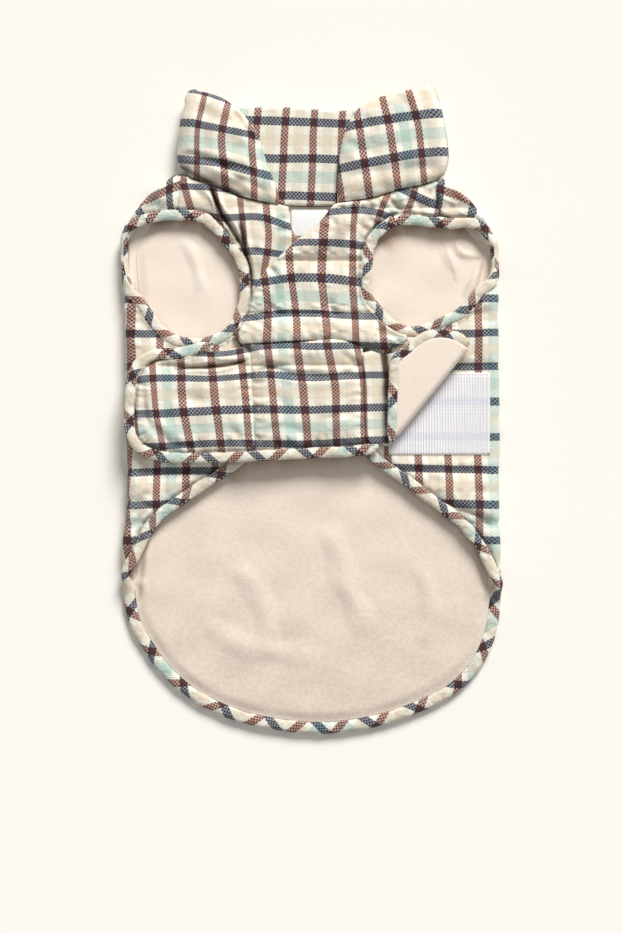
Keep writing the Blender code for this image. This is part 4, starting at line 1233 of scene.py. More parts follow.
def quilted(uv, edge):
    """1 between quilting lines, 0 on them and at the edge."""
    return dome(np.minimum(edge, from_quilting(uv)) / 13)


def flat(height):
    """The same height all over, in the form that cloth() asks for."""
    return lambda uv, edge: np.full(len(uv), float(height))


def quilt_puckers(uv, seed):
    """Short creases beside every quilting line."""
    near = from_quilting(uv)
    row = np.round((uv[:, 1] - QUILT_START) / QUILT_PITCH)
    shape = (near / 5) * np.exp(1 - near / 5)
    return 0.7 * shape * ripple(uv[:, 0] + 37 * row + 0.25 * (uv[:, 1] % 17), 9.5, seed)


# %% Creases of the wings, and painted shade in their folds
WING_CREASES = [
    (spots((128, 505), (140, 500), (152, 506), (160, 512)), 1.9, 1.8, 101),
    (spots((134, 492), (146, 496), (158, 492)), 2.0, 1.4, 102),
    (spots((127, 352), (136, 350), (146, 354)), 1.7, 1.6, 103),
    (spots((126, 318), (136, 322), (144, 330)), 1.8, 1.6, 104),
    (spots((132, 522), (138, 532), (136, 545)), 1.8, 1.3, 105),
    (spots((440, 499), (455, 507), (470, 513), (480, 517), (497, 530)), 2.4, 1.6, 106),
    (spots((420, 476), (436, 482), (452, 480)), 2.4, 1.2, 107),
    (spots((470, 486), (482, 492), (496, 490)), 2.2, 1.2, 108),
    (spots((476, 318), (486, 322), (498, 318)), 2.0, 1.4, 109),
    (spots((148, 196), (158, 206), (170, 206)), 2.0, 1.2, 110),
    (spots((446, 206), (458, 208), (466, 218)), 2.0, 1.2, 111),
]


def shade_beside_bindings(view, paths):
    """Narrow line of painted shade where the shell dips under the rim of a binding, uneven along it."""
    value = np.zeros(len(view))
    uneven = 0.65 + 0.35 * ripple(view[:, 0] + 1.3 * view[:, 1], 13, 9)
    for path in paths:
        line = np.exp(-((distance(view, path) - BIAS_HALF_WIDTH - 0.9) / 0.95) ** 2)
        value = np.maximum(value, 0.8 * line * uneven)
    return np.clip(value, 0, 0.9)


def with_painted_shade(creases, paths):
    """Painted shade in folds and beside bindings, for a sheet that isn't folded itself."""
    return lambda uv: np.maximum(shade(uv, creases), shade_beside_bindings(uv, paths))


ARM_RIMS = [in_view(arm_left), in_view(arm_right)]
# Painted shade in the narrowest folds of the wings and in the gap at the right shoulder seam: line, width,
# amount
WING_SHADE = [(spots((128, 505), (140, 500), (152, 506), (160, 512)), 1.2, 0.45),
             (spots((440, 499), (455, 507), (470, 513), (480, 517), (492, 527)), 1.3, 0.5),
             (spots((437, 186), (437.5, 200), (438.5, 212)), 1.2, 0.6),
             (spots((150, 197), (152, 208), (151, 216)), 1.0, 0.3)]


# %% The back and both wings
def back_high(uv, edge):
    """Pressed flat on the lower layer, a firm roll in the turn, and puffs on the upper layer."""
    turn = BACK.turned(uv)
    view = in_view(uv)
    at_fold = 3.6 * turn * (1 - turn)
    full = quilted(uv, edge) * (1 - at_fold) + 0.75 * smooth(edge / 6) * at_fold
    puff = STITCH_THICK + (PUFF_THICK + 0.5 - STITCH_THICK) * full
    puff = puff + smooth(edge / 5) * (1 - at_fold) * (quilt_puckers(uv, 3) + 0.5 * lumps(uv, 24, 5))
    puff = creased(puff, view, WING_CREASES)
    pressed = (1 - smooth((box_distance(view, TAPE) - 1) / 6)) * smooth((turn - 0.6) / 0.3)
    puff = puff * (1 - pressed) + (TAPE_PRESSED + 0.3) * pressed
    groove = 1 - dome(from_quilting(uv) / 7)
    under = BACK_THICK - 2.0 * groove * smooth(edge / 4)
    under = under - 0.3 * smooth(edge / 6) * (1 + lumps(uv, 26, 6)) * 0.5
    return under + (puff - under) * smooth(turn * 1.2 - 0.1)


def wing_points(step=3.2):
    """Closer points for the upper layer, where most of the creases are."""
    outline = back_outline()
    lo, hi = outline.min(0), outline.max(0)
    xs, ys = np.meshgrid(np.arange(lo[0], hi[0], step), np.arange(lo[1], hi[1], step))
    xs[1::2] += step / 2
    points = np.column_stack([xs.ravel(), ys.ravel()])
    return points[inside(points, outline) & (BACK.turned(points) > 0.55)]


# Painted shade on the upper layer only, in folds and beside the bindings
def back_shade(uv):
    return (BACK.turned(uv) > 0.9) * with_painted_shade(WING_SHADE, ARM_RIMS + [in_view(hem)])(in_view(uv))


back = cloth("coat_back", BACK, back_outline(), flat(0), back_high, 4.4, 1, back_fabric,
             [SHELL, FLEECE], also=[wing_points(), seen(rectangle(TAPE, 4.0))], dark=back_shade)


# %% Fleece inside the back
def lining_rise(uv):
    """Soft folds of the fleece: it lies loose, so it only rises from the padding."""
    rise = 0.5 + 0.5 * lumps(uv, 34, 21)
    for rows, width, depth, seed in LINING_FOLDS:
        rise = rise + np.maximum(-trough(uv, rows, width, depth, seed, fade=14), 0)
    near = smooth(distance(uv, lining_edge, True) / 8)
    return rise * near - 0.3 * (1 - near)


LINING_FOLDS = [
    (spots((152, 528), (148, 545), (144, 570), (140, 600)), 3.4, 1.6, 1),
    (spots((440, 243), (448, 258), (456, 276)), 3.0, 1.6, 2),
    (spots((451, 238), (460, 254), (481, 258)), 2.6, 1.4, 3),
    (spots((477, 264), (471, 282), (464, 302)), 3.0, 1.4, 4),
    (spots((180, 235), (196, 262), (204, 300)), 4.0, 1.2, 5),
    (spots((230, 560), (262, 600), (270, 660)), 7.0, 1.2, 6),
    (spots((330, 520), (345, 580), (372, 640)), 8.0, 1.3, 7),
    (spots((200, 620), (250, 648), (320, 655)), 7.0, 1.0, 8),
    (spots((420, 560), (430, 610), (420, 650)), 6.0, 1.1, 9),
]
# Painted shade in narrow folds, and a warm painted shadow where the fleece runs in under an edge: line,
# width, amount
LINING_SHADE = [
    (spots((438, 236), (446, 254), (452, 270), (457, 286)), 1.0, 0.3),
    (spots((451, 234), (456, 248), (464, 256), (474, 259), (484, 257)), 1.0, 0.42),
    (spots((483, 258), (479, 278), (471, 296), (460, 316)), 1.0, 0.42),
    (spots((475, 262), (470, 280), (461, 300)), 0.9, 0.25),
    (spots((152, 524), (147, 548), (143, 572), (140, 602)), 1.0, 0.4),
    (spots((124, 246), (130, 275), (142, 304)), 1.0, 0.3),
    (spots((122, 232), (140, 223), (160, 220), (180, 219), (202, 221), (221, 231), (237, 249), (248, 266)),
        7.5, 0.6),
    (spots((378, 250), (390, 235), (404, 225), (430, 226), (460, 229), (480, 232), (492, 244)), 7.5, 0.6),
    (spots((225, 480), (250, 462), (290, 457), (330, 455), (364, 450), (382, 462)), 6.5, 0.4),
    (spots((364, 448), (390, 470), (420, 492), (450, 514), (476, 540), (492, 572)), 5.0, 0.35)]
lining_edge = lining_outline()
lining = cloth("coat_lining", Drape(lambda uv: BACK_THICK + GAP + lining_rise(uv)), lining_edge,
               flat(0), lambda uv, edge: 0.1 + (LINING_THICK - 0.1) * smooth(edge / 6), 3.6, 1,
               plain_fabric, [FLEECE], dark=lambda uv: shade(uv, LINING_SHADE))

# %% [markdown]
# ## Chest, belly band and flaps
#
# The right chest lies over the left one at the neck. Both are small panels with a soft puff, and
# the seams pull short puckers into them. The band lies over the wings and sags where there is
# nothing but the belly panel under it.

# %% Left chest, under the V
CHEST_L_CREASES = [
    (spots((208, 186), (213, 195), (219, 208), (224, 219), (233, 232), (243, 250), (249, 268)),
        1.5, 4.4, 31),
    (spots((240, 222), (243, 238), (246, 252), (250, 275), (252, 300)), 1.5, 4.2, 32),
    (spots((247, 246), (256, 252), (268, 255)), 1.8, 1.0, 35),
    (spots((258, 212), (262, 228), (272, 238)), 2.6, 1.0, 33),
    (spots((190, 186), (198, 194), (207, 206)), 2.2, 1.2, 34),
    (spots((228, 212), (238, 209), (250, 211), (262, 210)), 2.2, 0.9, 36),
    (spots((272, 238), (284, 232), (294, 238)), 2.0, 0.9, 37),
]


# Painted shade in the two deep folds of the left chest, narrower than the mesh: line, width, amount
CHEST_L_SHADE = [
    (spots((206, 183), (213, 195), (219, 208), (224, 219), (233, 232), (243, 250), (250, 270)),
        1.25, 0.9),
    (spots((239, 220), (243, 238), (246, 252), (250, 275), (252, 302)), 1.25, 0.9),
]


def chest_left_high(uv, edge):
    """Thin where the right chest covers it, and fuller with the distance from its edge."""
    cover = np.where(inside(uv, chest_right_outline), 0, distance(uv, v_right))
    full = STITCH_THICK + 3.3 * dome(edge / 11)
    full = full + smooth(edge / 5) * 0.3 * lumps(uv, 22, 8)
    full = creased(full, uv, CHEST_L_CREASES) + puckers(uv, chest_left_outline, 12, 0.5, 8, 3.5)
    return 2.3 + (full - 2.3) * smooth(cover / 9)


chest_l = cloth("coat_chest_left", Drape(lambda uv: np.full(len(uv), CHEST_LEVEL)),
                chest_left_outline, flat(0), chest_left_high, 1.5, 1, charted(CHECK_CHEST_L),
                [SHELL, FLEECE], dark=with_painted_shade(CHEST_L_SHADE, ARM_RIMS))

# %% Right chest, from the shoulder to the belly seam
CHEST_R_CREASES = [
    (spots((262, 282), (282, 268), (305, 258)), 3.2, 1.0, 41),
    (spots((345, 204), (350, 225), (346, 250)), 3.0, 1.2, 42),
    (spots((368, 212), (362, 236), (354, 262), (350, 285)), 2.8, 1.3, 43),
    (spots((388, 194), (392, 204), (402, 212), (418, 217)), 2.2, 1.6, 44),
    (spots((425, 188), (430, 199), (436, 212)), 2.0, 1.3, 45),
    (spots((398, 205), (412, 204), (428, 208)), 2.2, 1.1, 47),
    (spots((262, 300), (275, 312), (290, 318)), 2.6, 1.3, 46),
    (spots((320, 296), (330, 308), (338, 318), (352, 322)), 2.4, 1.5, 48),
    (spots((352, 268), (360, 285), (372, 300), (384, 318)), 2.4, 1.7, 49),
    (spots((288, 324), (312, 328), (340, 326)), 3.0, 1.0, 50),
    (spots((372, 328), (386, 334), (402, 338)), 2.4, 1.4, 58),
    (spots((248, 318), (262, 324), (276, 334)), 2.2, 1.2, 59),
]


# Painted shade in folds of the right chest and in the gap at its shoulder seam: line, width, amount
CHEST_R_SHADE = [
    (spots((388, 196), (396, 206), (408, 213)), 1.1, 0.4),
    (spots((437, 186), (436.5, 200), (438, 213)), 1.3, 0.75),
    (spots((354, 270), (362, 287), (373, 302), (383, 316)), 1.1, 0.35),
    (spots((248, 318), (262, 324), (276, 334)), 1.1, 0.35),
    (spots((372, 328), (386, 334), (400, 338)), 1.1, 0.45),
]


def chest_high(uv, edge):
    high = STITCH_THICK + (BAND_PUFF - 0.4 - STITCH_THICK) * quilted(uv, edge)
    high = high + smooth(edge / 5) * (quilt_puckers(uv, 17) + 0.5 * lumps(uv, 22, 18))
    return creased(high, uv, CHEST_R_CREASES) + puckers(uv, chest_right_outline, 19, 0.6, 6, 3)


chest_r = cloth("coat_chest_right", Drape(chest_level), chest_right_outline, flat(0), chest_high,
                1.9, 1, charted(CHECK_CHEST_R), [SHELL, FLEECE], dark=with_painted_shade(CHEST_R_SHADE, ARM_RIMS))

# %% Belly panel and left flap
BAND_CREASES = [
    (spots((256, 372), (275, 368), (290, 374), (325, 377), (358, 374)), 2.4, 2.0, 51),
    (spots((262, 362), (272, 368), (284, 380)), 2.0, 1.4, 55),
    (spots((262, 432), (285, 428), (310, 436)), 2.8, 1.1, 52),
    (spots((320, 424), (345, 414), (360, 420)), 2.8, 1.1, 53),
    (spots((268, 392), (282, 402), (290, 415)), 2.8, 0.9, 54),
    (spots((338, 352), (350, 360), (360, 372)), 2.0, 1.4, 56),
    (spots((270, 440), (284, 446), (300, 443)), 1.8, 1.1, 57),
]
FLAP_CREASES = [
    (spots((176, 369), (195, 369), (215, 367), (235, 364), (250, 362)), 1.3, 3.4, 61),
    (spots((145, 368), (158, 362), (172, 358), (190, 357)), 1.4, 2.6, 62),
    (spots((205, 352), (213, 360), (226, 366)), 1.7, 1.6, 66),
    (spots((172, 392), (190, 400), (214, 402)), 3.4, 0.9, 63),
    (spots((228, 425), (238, 436), (246, 452)), 2.4, 1.2, 64),
    (spots((150, 418), (160, 432), (176, 444), (200, 448)), 2.4, 1.3, 65),
    (spots((146, 382), (145, 400), (149, 420), (158, 440)), 2.0, 1.2, 67),
]


# Painted shade in the deepest folds of belly and left flap: line, width, amount
BAND_SHADE = [(spots((172, 370), (195, 369), (215, 367), (235, 364), (252, 361)), 1.2, 0.7),
             (spots((145, 368), (158, 362), (172, 358), (190, 356)), 1.1, 0.5),
             (spots((254, 372), (275, 368), (290, 373), (308, 377)), 1.5, 0.55),
             (spots((252, 430), (262, 440), (272, 448)), 1.2, 0.4),
             (spots((372, 434), (384, 440), (392, 438)), 1.6, 0.4)]
# Upper ends of the short puckers over the hem of the band, each drawn as a short stroke of painted shade
HEM_PUCKERS = spots((283, 434), (311, 434), (338, 436), (163, 434), (196, 436), (225, 434))
BAND_SHADE += [([(x, y), (x + 3, y - 2.5), (x + 7, y - 7.5)], 1.2, 0.6) for x, y in HEM_PUCKERS]


def band_high(creases, outline, seed):
    """Height of a piece of the band, which has one quilting line."""
    def high(uv, edge):
        line = np.abs(uv[:, 1] - BAND_QUILT)
        rise = STITCH_THICK + (BAND_PUFF - STITCH_THICK) * dome(np.minimum(edge, line) / 15)
        rise = rise + smooth(edge / 5) * 0.5 * lumps(uv, 20, seed)
        return creased(rise, uv, creases) + puckers(uv, outline, seed + 1, 0.6, 5.5, 2.6)
    return high


belly, flap_l = (cloth(name, Drape(band_level), outline, flat(0), band_high(creases, outline, seed),
                       1.9, 1, charted(CHECK_BAND), [SHELL, FLEECE], dark=with_painted_shade(BAND_SHADE, [band]))
                 for name, outline, creases, seed in
                 (("coat_belly", belly_outline, BAND_CREASES, 71),
                  ("coat_flap_left", flap_left_outline, FLAP_CREASES, 75)))


# %% Right flap with its corner turned back
# Painted shadow on the strip of the flap beside the turned corner's binding: line, width, amount
FLAP_SHADE = [(spots((385, 348), (384.5, 380), (385.5, 410), (387, 450)), 2.4, 0.85)]


def flap_low(uv, edge):
    """The part beside the belly is padded; the rest is pressed under the turned corner."""
    beside = TURNED_EDGE[0][0] - uv[:, 0]
    return 2.0 * np.exp(-((beside - 3) / 4) ** 2) - 2.6 * dome(edge / 12) * smooth((beside - 9) / 7)


def thinned(uv):
    """The cloth is pinched flat where it turns back."""
    turn = FLAP.turned(uv)
    return FLAP_THICK - 9.2 * turn * (1 - turn)


def flap_high(uv, edge):
    return thinned(uv) - 0.6 * (1 - dome(edge / 6))


flap_r = cloth("coat_flap_right", FLAP, flap_right_outline, flap_low, flap_high, 3.0, 1,
               charted(CHECK_BAND), [FLEECE, SHELL],
               dark=lambda uv: shade(uv, FLAP_SHADE) * (FLAP.turned(uv) < 0.1))
corner_outline = flap_lining_outline()
corner = cloth("coat_flap_fleece", FLAP, corner_outline, lambda uv, edge: thinned(uv) + GAP / 2,
               lambda uv, edge: thinned(uv) + GAP / 2 + LINING_THICK, 2.2, 1, plain_fabric, [FLEECE])

# %% [markdown]
# ## Collar
#
# The collar is a tall padded band, sewn to the neck and folded at both sides, so that its front
# halves lie over its back. It has no quilting, and so it creases in long soft waves.

# %% Collar with its two folds
COLLAR_CREASES_L = [
    (spots((177, 160), (192, 157), (205, 161), (222, 166), (240, 172), (262, 179)), 2.2, 2.2, 81),
    (spots((186, 104), (205, 116), (228, 126)), 4.5, 1.0, 82),
    (spots((205, 188), (225, 184), (250, 190)), 3.2, 1.4, 83),
    (spots((215, 138), (235, 148), (256, 152)), 4.0, 0.9, 84),
    (spots((222, 166), (236, 178), (256, 186), (272, 196)), 2.4, 1.3, 89),
    (spots((228, 108), (238, 120), (249, 136), (258, 152), (266, 172)), 1.8, 1.3, 90),
]
COLLAR_CREASES_R = [
    (spots((345, 180), (372, 174), (402, 172), (436, 166)), 3.6, 1.3, 85),
    (spots((356, 120), (378, 128), (404, 126)), 5.0, 0.8, 86),
    (spots((404, 184), (420, 172), (442, 168)), 3.4, 0.9, 87),
    (spots((352, 148), (380, 150), (410, 142)), 5.0, 0.7, 88),
]


def collar_high(uv, edge):
    """The padding thins to the edges."""
    high = COLLAR_EDGE + (COLLAR_THICK - COLLAR_EDGE) * dome(edge / 17)
    over = smooth((COLLAR.turned(uv) - 0.7) / 0.3)
    for side, creases in ((-1, COLLAR_CREASES_L), (1, COLLAR_CREASES_R)):
        half = over * (uv[:, 0] * side > 0)
        high = creased(high, opened(COLLAR, uv, side), creases, half)
    high = high + smooth(edge / 8) * 0.6 * lumps(uv, 32, 91)
    return high + puckers(uv, collar_edge, 93, 0.7, 10, 5)


def collar_low(uv, edge):
    """The lower rim of the left half stands off the shoulder, so that a dark gap shows there."""
    near = distance(opened(COLLAR, uv, -1), curve(COLLAR_HEM_L))
    return 3.0 * np.exp(-(near / 6) ** 2) * smooth((COLLAR.turned(uv) - 0.6) / 0.4) * (uv[:, 0] < 0)


# Painted shade on the left half of the collar, where it lies over the back
def collar_shade(uv):
    view = opened(COLLAR, uv, -1)
    return shade(view, COLLAR_SHADE) * (COLLAR.turned(uv) > 0.6) * (uv[:, 0] < 0)


# Painted shadow under the lower rim of the left half, and painted shade in one crease: line, width, amount
COLLAR_SHADE = [(spots((170, 162), (186, 171), (205, 182), (228, 191), (246, 199)), 2.0, 0.8),
               (spots((222, 166), (236, 178), (256, 186), (270, 193)), 1.1, 0.3)]
collar_edge = collar_outline()
collar = cloth("coat_collar", COLLAR, collar_edge, collar_low, collar_high, 2.6, 1, collar_fabric,
               [SHELL], dark=collar_shade)

# %% [markdown]
# ## Bindings
#
# Strips cut at 45 degrees fold over every raw edge, so the check runs across them in diagonal
# stripes. Each is a rounded section swept along its line, with a shallow groove on either side
# where the thread holds it.

# %% Sweep a binding
SIDES = 18                           # of a binding's section
STITCH_AT = 0.8                      # where the thread pulls a groove, as a part of the half width
BIAS_COSINE = 0.7071                 # of the 45 degrees that the strips are cut at


def level_lift(path):
    return np.full(len(path), BIAS_LIFT)


def even_width(path):
    return np.full(len(path), BIAS_HALF_WIDTH)


def bead(name, surface, path, closed, seed, half_width=even_width, lift=level_lift):
    """A binding along a path in the pattern, and the rail that its thread follows."""
    place, out = surface.place(path)
    centre = place + lift(path)[:, None] * out
    along = directions(centre, closed)
    across = np.cross(along, out)
    across /= np.linalg.norm(across, axis=1)[:, None]
    out = np.cross(across, along)
    width = half_width(path)
    n = len(path)
    run = run_of(np.vstack([centre, centre[:1]]))
    swell = 1 + 0.1 * ripple(run[:n], 9, seed)
    width = width * (1 + 0.08 * ripple(run[:n], 14, seed + 40))
    if not closed:
        ends = 0.45 + 0.55 * smooth(np.minimum(run[:n], run[n - 1] - run[:n]) / 7)
        width, swell = width * ends, swell * ends
    rings = []
    for angle in 2 * math.pi * (np.arange(SIDES) + 0.5) / SIDES:
        c, s = math.cos(angle), math.sin(angle)
        dent = 1 - 0.16 * math.exp(-((abs(c) - STITCH_AT) / 0.1) ** 2)
        c, s = math.copysign(abs(c) ** 0.8, c), math.copysign(abs(s) ** 0.75, s) * dent
        rings.append(centre + (width * c)[:, None] * across
                     + (BIAS_HALF_HEIGHT * s * swell)[:, None] * out)
    verts = np.stack(rings, 1)
    verts[..., 2] = np.maximum(verts[..., 2], 0.02)
    ring = verts[n // 2]
    girth = run_of(np.vstack([ring, ring[:1]]))
    faces, uv = [], []
    for i in range(n if closed else n - 1):
        j = (i + 1) % n
        for k in range(SIDES):
            m = (k + 1) % SIDES
            faces.append((i * SIDES + k, i * SIDES + m, j * SIDES + m, j * SIDES + k))
            for s, w in ((i, k), (i, k + 1), (i + 1, k + 1), (i + 1, k)):
                uv.append(((run[s] - girth[w]) * BIAS_COSINE / LINE_U,
                           (run[s] + girth[w]) * BIAS_COSINE / LINE_V))
    obj = make_mesh(name, verts.reshape(-1, 3), faces, uv, [BIAS])
    if not closed:
        cap_ends(obj, n)
    print(f"{name}: {len(obj.data.polygons)} faces over {run[-1 if closed else -2]:.0f} mm")
    return obj, (centre, across, out, width)


def cap_ends(obj, n):
    """Close both ends of an open strip of n rings."""
    work = bmesh.new()
    work.from_mesh(obj.data)
    work.verts.ensure_lookup_table()
    for start in (0, (n - 1) * SIDES):
        ring = [work.verts[start + k] for k in range(SIDES)]
        work.faces.new(ring[::-1] if start == 0 else ring).smooth = True
    work.to_mesh(obj.data)
    work.free()


def hem_lift(path):
    """The hem binding lies low on the lower layer and hugs the turn at the sides."""
    turn = BACK.turned(path)
    return 1.2 + (BIAS_LIFT - 1.2) * smooth(turn) - 1.6 * np.sin(np.pi * np.clip(turn * 1.6, 0, 1)) ** 2


def hem_width(path):
    turn = BACK.turned(path)
    return HEM_HALF_WIDTH + (BIAS_HALF_WIDTH - HEM_HALF_WIDTH) * smooth(turn * 3)


bind_l, rail_l = bead("binding_left", BACK, arm_left, True, 1)
bind_r, rail_r = bead("binding_right", BACK, arm_right, True, 2)
bind_h, rail_h = bead("binding_edge", BACK, hem, False, 3, hem_width, hem_lift)
bind_b, rail_b = bead("binding_belly", Drape(band_level), band, False, 4)
bind_c, rail_c = bead("binding_flap", FLAP, turned_path, False, 5)

# %% [markdown]
# ## Tape, label and thread
#
# The hook tape is a woven strip with rows of small plastic hooks. The label is a blank satin
# tab. Thread shows as short dashes: two rows along each binding, one row beside the belly seam and
# one round the tape. Small pieces like these are made as one mesh, because thousands of objects
# would be slow.

# %% Hook tape and blank label
tape = cloth("hook_tape_base", BACK, seen(rectangle(TAPE))[::-1], flat(TAPE_PRESSED + GAP),
             flat(TAPE_PRESSED + GAP + TAPE_THICK / 2), 3.2, 0, plain_fabric, [TAPE_MAT])
label = cloth("label_tab", Drape(lambda uv: BACK_THICK + LINING_THICK + 2 * GAP + lining_rise(uv)),
              rectangle(LABEL, 2), flat(0), flat(LABEL_THICK), 2.4, 0, plain_fabric, [SATIN])


# %% Rows of small hooks on the tape
HOOK_X, HOOK_Y = 1.75, 1.45          # from one hook to the next, mm
HOOK_HALF = (0.16, 0.1)              # half of a hook's width and thickness
HOOK_BEND = [(-0.3, -0.1), (-0.3, 0.3), (0.05, 0.52), (0.4, 0.36)]   # y and height of its middle
TAPE_BORDER = 2.0                    # without hooks


def quads(first, sides):
    """Faces between two rings of points, the first of which starts at number first."""
    return [(first + k, first + (k + 1) % sides, first + sides + (k + 1) % sides, first + sides + k)
            for k in range(sides)]


def hook_rows(box):
    """Bent bars of square section, all pointing the same way."""
    x0, y0, x1, y1 = box
    xs, ys = np.meshgrid(np.arange(x0 + TAPE_BORDER, x1 - TAPE_BORDER + 0.01, HOOK_X),
                         np.arange(y0 + TAPE_BORDER, y1 - TAPE_BORDER + 0.01, HOOK_Y))
    place, out = BACK.place(seen(np.column_stack([xs.ravel(), ys.ravel()])))
    place = place + (TAPE_PRESSED + GAP + TAPE_THICK / 2) * out
    verts, faces = [], []
    for p, up in zip(place, out):
        base = len(verts)
        for y, h in HOOK_BEND:
            for a, b in ((-1, -1), (1, -1), (1, 1), (-1, 1)):
                dx, dh = a * HOOK_HALF[0], b * HOOK_HALF[1]
                verts.append(p + np.array([dx, y - dh, 0]) + (h + dh) * up)
        for r in range(0, 12, 4):
            faces += quads(base + r, 4)
        faces += [tuple(base + k for k in (3, 2, 1, 0)), tuple(base + 12 + k for k in range(4))]
    print("hooks:", len(place))
    return make_mesh("tape_hooks", verts, faces, None, [HOOK])


hooks = hook_rows(TAPE)


# %% Thread as short dashes lying on the cloth
def dashes(name, places, ups, material, thick=0.24):
    """A flat spindle at each place: places is a list of (start, end) points."""
    verts, faces = [], []
    for (a, b), up in zip(places, ups):
        a, b, up = np.array(a), np.array(b), np.array(up) / np.linalg.norm(up)
        side = np.cross(b - a, up)
        side = side / max(np.linalg.norm(side), 1e-9)
        base = len(verts)
        for t, size in ((0.0, 0.25), (0.25, 1.0), (0.75, 1.0), (1.0, 0.25)):
            middle = a + (b - a) * t + up * (0.1 if 0 < t < 1 else -0.12)
            for c, s in ((1, 0), (0.5, 0.8), (-0.5, 0.8), (-1, 0), (0, -0.7)):
                verts.append(middle + thick * size * (c * side + s * up))
        for r in range(0, 15, 5):
            faces += quads(base + r, 5)
        faces.append(tuple(base + k for k in range(5))[::-1])
        faces.append(tuple(base + 15 + k for k in range(5)))
    print(f"{name}: {len(places)} dashes")
    return make_mesh(name, verts, faces, None, [material])


def rail_dashes(rail, fraction, pitch=3.2, length=2.2):
    """Dashes along a binding, at a part of its half width from the middle."""
    centre, across, out, width = rail
    c = abs(fraction) ** (1 / 0.8)
    s = math.sqrt(max(1 - c * c, 0)) ** 0.75 * 0.86
    line = centre + (fraction * width)[:, None] * across + (BIAS_HALF_HEIGHT * s) * out
    tilt = out + 0.5 * fraction * across
    run = run_of(line)
    at = lambda d, table: np.array([np.interp(d, run, table[:, k]) for k in range(3)])
    starts = np.arange(1.0, run[-1] - length, pitch)
    places = [(at(d, line), at(d + length, line)) for d in starts]
    return places, [at(d + length / 2, tilt) for d in starts]


places, ups = [], []
for rail in (rail_l, rail_r, rail_h, rail_b, rail_c):
    for fraction in (-0.74, 0.74):
        more = rail_dashes(rail, fraction)
        places += more[0]
        ups += more[1]
binding_thread = dashes("binding_thread", places, ups, THREAD)


# %% Rows of stitches beside the belly seam and round the tape
def stitches(obj, line, pitch=2.9, length=1.9):
    """Dashes along a line seen from above, laid on the top of a piece."""
    mesh = obj.data
    tree = BVHTree.FromPolygons([v.co for v in mesh.vertices],
                                [tuple(p.vertices) for p in mesh.polygons])
    run = run_of(line)
    places, ups = [], []
    for d in np.arange(0.5, run[-1] - length, pitch):
        hits = []
        for t in (d, d + length):
            x, y = (np.interp(t, run, line[:, k]) * MM for k in range(2))
            hits.append(tree.ray_cast(Vector((x, y, 0.1)), Vector((0, 0, -1))))
        if hits[0][0] and hits[1][0]:
            places.append(tuple(np.array(hit[0]) / MM for hit in hits))
            ups.append(np.array(hits[0][1]))
    return places, ups


seam = curve(spots((257, 354), (257.5, 372), (259, 400), (260, 425), (261.5, 446)), False, 1.0)
seam_thread = dashes("seam_thread", *stitches(belly, seam), THREAD, thick=0.2)
round_tape = rectangle((TAPE[0] + 1.3, TAPE[1] + 1.1, TAPE[2] - 1.3, TAPE[3] - 1.1))
round_tape = np.vstack([round_tape, round_tape[:1]])
tape_thread = dashes("tape_thread", *stitches(tape, round_tape, 1.7, 1.2), ROSE, thick=0.17)

# %% [markdown]
# ## Handing the pieces over
#
# Every piece rides on the one body of the coat, and each but the thread and the hooks hides the
# solid that it stands for. The size that each thin sheet was cut to is printed.

# %% Bodies and solids
PADDED = {
    "plaid_shell": ((back, "back_shell"), (chest_l, "chest_left"), (chest_r, "chest_right"),
                    (belly, "belly"), (flap_l, "flap_left"), (flap_r, "flap_right"),
                    (collar, "collar")),
    "bias_binding": ((bind_l, "binding_arm_left"), (bind_r, "binding_arm_right"),
                     (bind_h, "binding_hem"), (bind_b, "binding_band"), (bind_c, "binding_corner"))}
for name, pairs in PADDED.items():
    for obj, node in pairs:
        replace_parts(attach(obj, "root"), node)


def cut_of(outline):
    """Width, length and area of a flat outline, in metres."""
    size = (outline.max(0) - outline.min(0)) * MM
    x, y = outline.T * MM
    return tuple(size), abs(np.sum(x * np.roll(y, -1) - y * np.roll(x, -1))) / 2


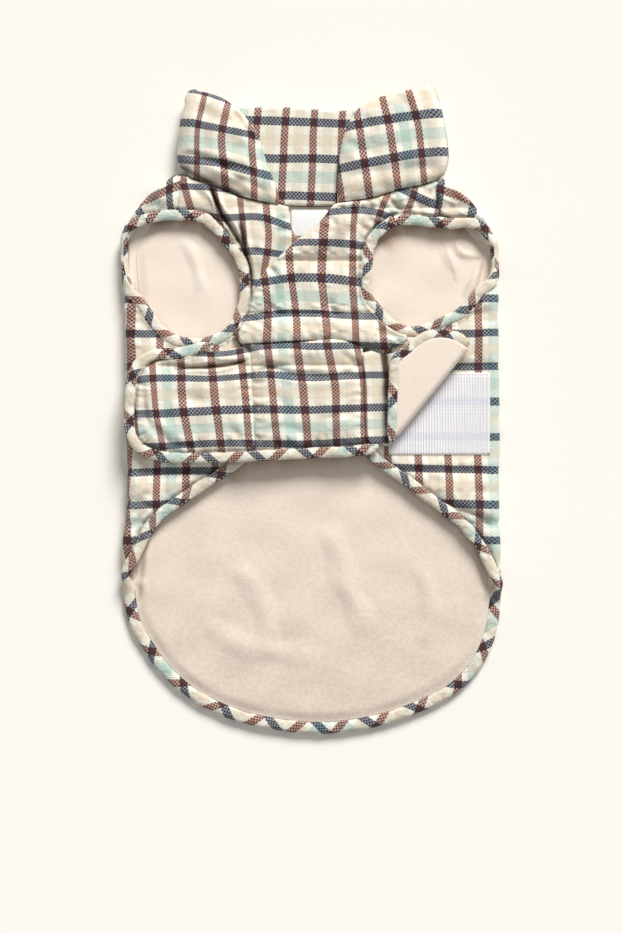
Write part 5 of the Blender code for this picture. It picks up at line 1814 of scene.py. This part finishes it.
SHEETS = [(lining, "back_lining", "fleece", lining_edge, "laid", "coat_back"),
          (corner, "flap_right_lining", "fleece", FLAP.local(corner_outline), "folded", "coat_flap_right"),
          (tape, "hook_tape", "tape", rectangle(TAPE), "laid", "coat_back"),
          (label, "label", "label", rectangle(LABEL), "laid", "coat_lining")]
for obj, node, name, outline, held, under in SHEETS:
    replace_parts(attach(obj, "root"), node)
    size, area = cut_of(outline)
    print(node, "cut to", [round(v * 1000) for v in size], "mm")
SMALL = ((binding_thread, "bias_binding"), (seam_thread, "plaid_shell"), (tape_thread, "tape"),
         (hooks, "tape"))
for obj, name in SMALL:
    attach(obj, "root")
print("pieces:", sum(len(pairs) for pairs in PADDED.values()) + len(SHEETS) + len(SMALL))

# %% [markdown]
# ## Table, light and camera
#
# A pale table top fills the view. One wide soft sun shines from beyond the collar, a little from
# the right and about 34 degrees up, so that the table is lit evenly, and an even sky fills the
# shadows. An area lamp would fall off across the table. The camera looks straight down from two
# metres with a long lens, so that nothing leans.

# %% Table, lamp, sky and camera
top = bpy.data.meshes.new("table_top")
top.from_pydata([(-2, -2, 0), (2, -2, 0), (2, 2, 0), (-2, 2, 0)], [], [(0, 1, 2, 3)])
table = bpy.data.objects.new("table_top", top)
table.location.z = -0.0002
bpy.context.scene.collection.objects.link(table)
paper = Paint("table_paper", Roughness=0.9, Specular_IOR_Level=0.1)
paper.to(Base_Color=paper.mix(paper.noise(6.0), colour(250, 248, 243), colour(251, 249, 244)))
top.materials.append(paper.material)

lamp_data = bpy.data.lights.new("soft_lamp", "SUN")
lamp_data.angle = math.radians(22)    # how wide it looks: softness of the shadows
lamp_data.energy = 3.7
lamp_data.color = (1.0, 0.985, 0.955)
lamp = bpy.data.objects.new("soft_lamp", lamp_data)
toward = Vector((0.5, 1.5, 1.06)).normalized()
lamp.location = toward * 1.6          # a sun's place changes nothing but where it is drawn
lamp.rotation_euler = toward.to_track_quat("Z", "Y").to_euler()
bpy.context.scene.collection.objects.link(lamp)

world = bpy.data.worlds.new("even_sky")
world.use_nodes = True
world.node_tree.nodes["Background"].inputs["Color"].default_value = (1.0, 0.99, 0.97, 1)
world.node_tree.nodes["Background"].inputs["Strength"].default_value = 0.37
bpy.context.scene.world = world

camera_data = bpy.data.cameras.new("camera")
camera_data.sensor_fit = "VERTICAL"
camera_data.sensor_height = 24
camera_data.lens = 79.15              # 606.5 mm of the table, 933 pixels of PIXEL each
camera = bpy.data.objects.new("camera", camera_data)
camera.location = (0, -0.0361, 2.0)   # over the frame's middle, 55.5 pixels below MIDDLE_Y
bpy.context.scene.collection.objects.link(camera)
bpy.context.scene.camera = camera
bpy.context.scene.view_settings.view_transform = "Standard"
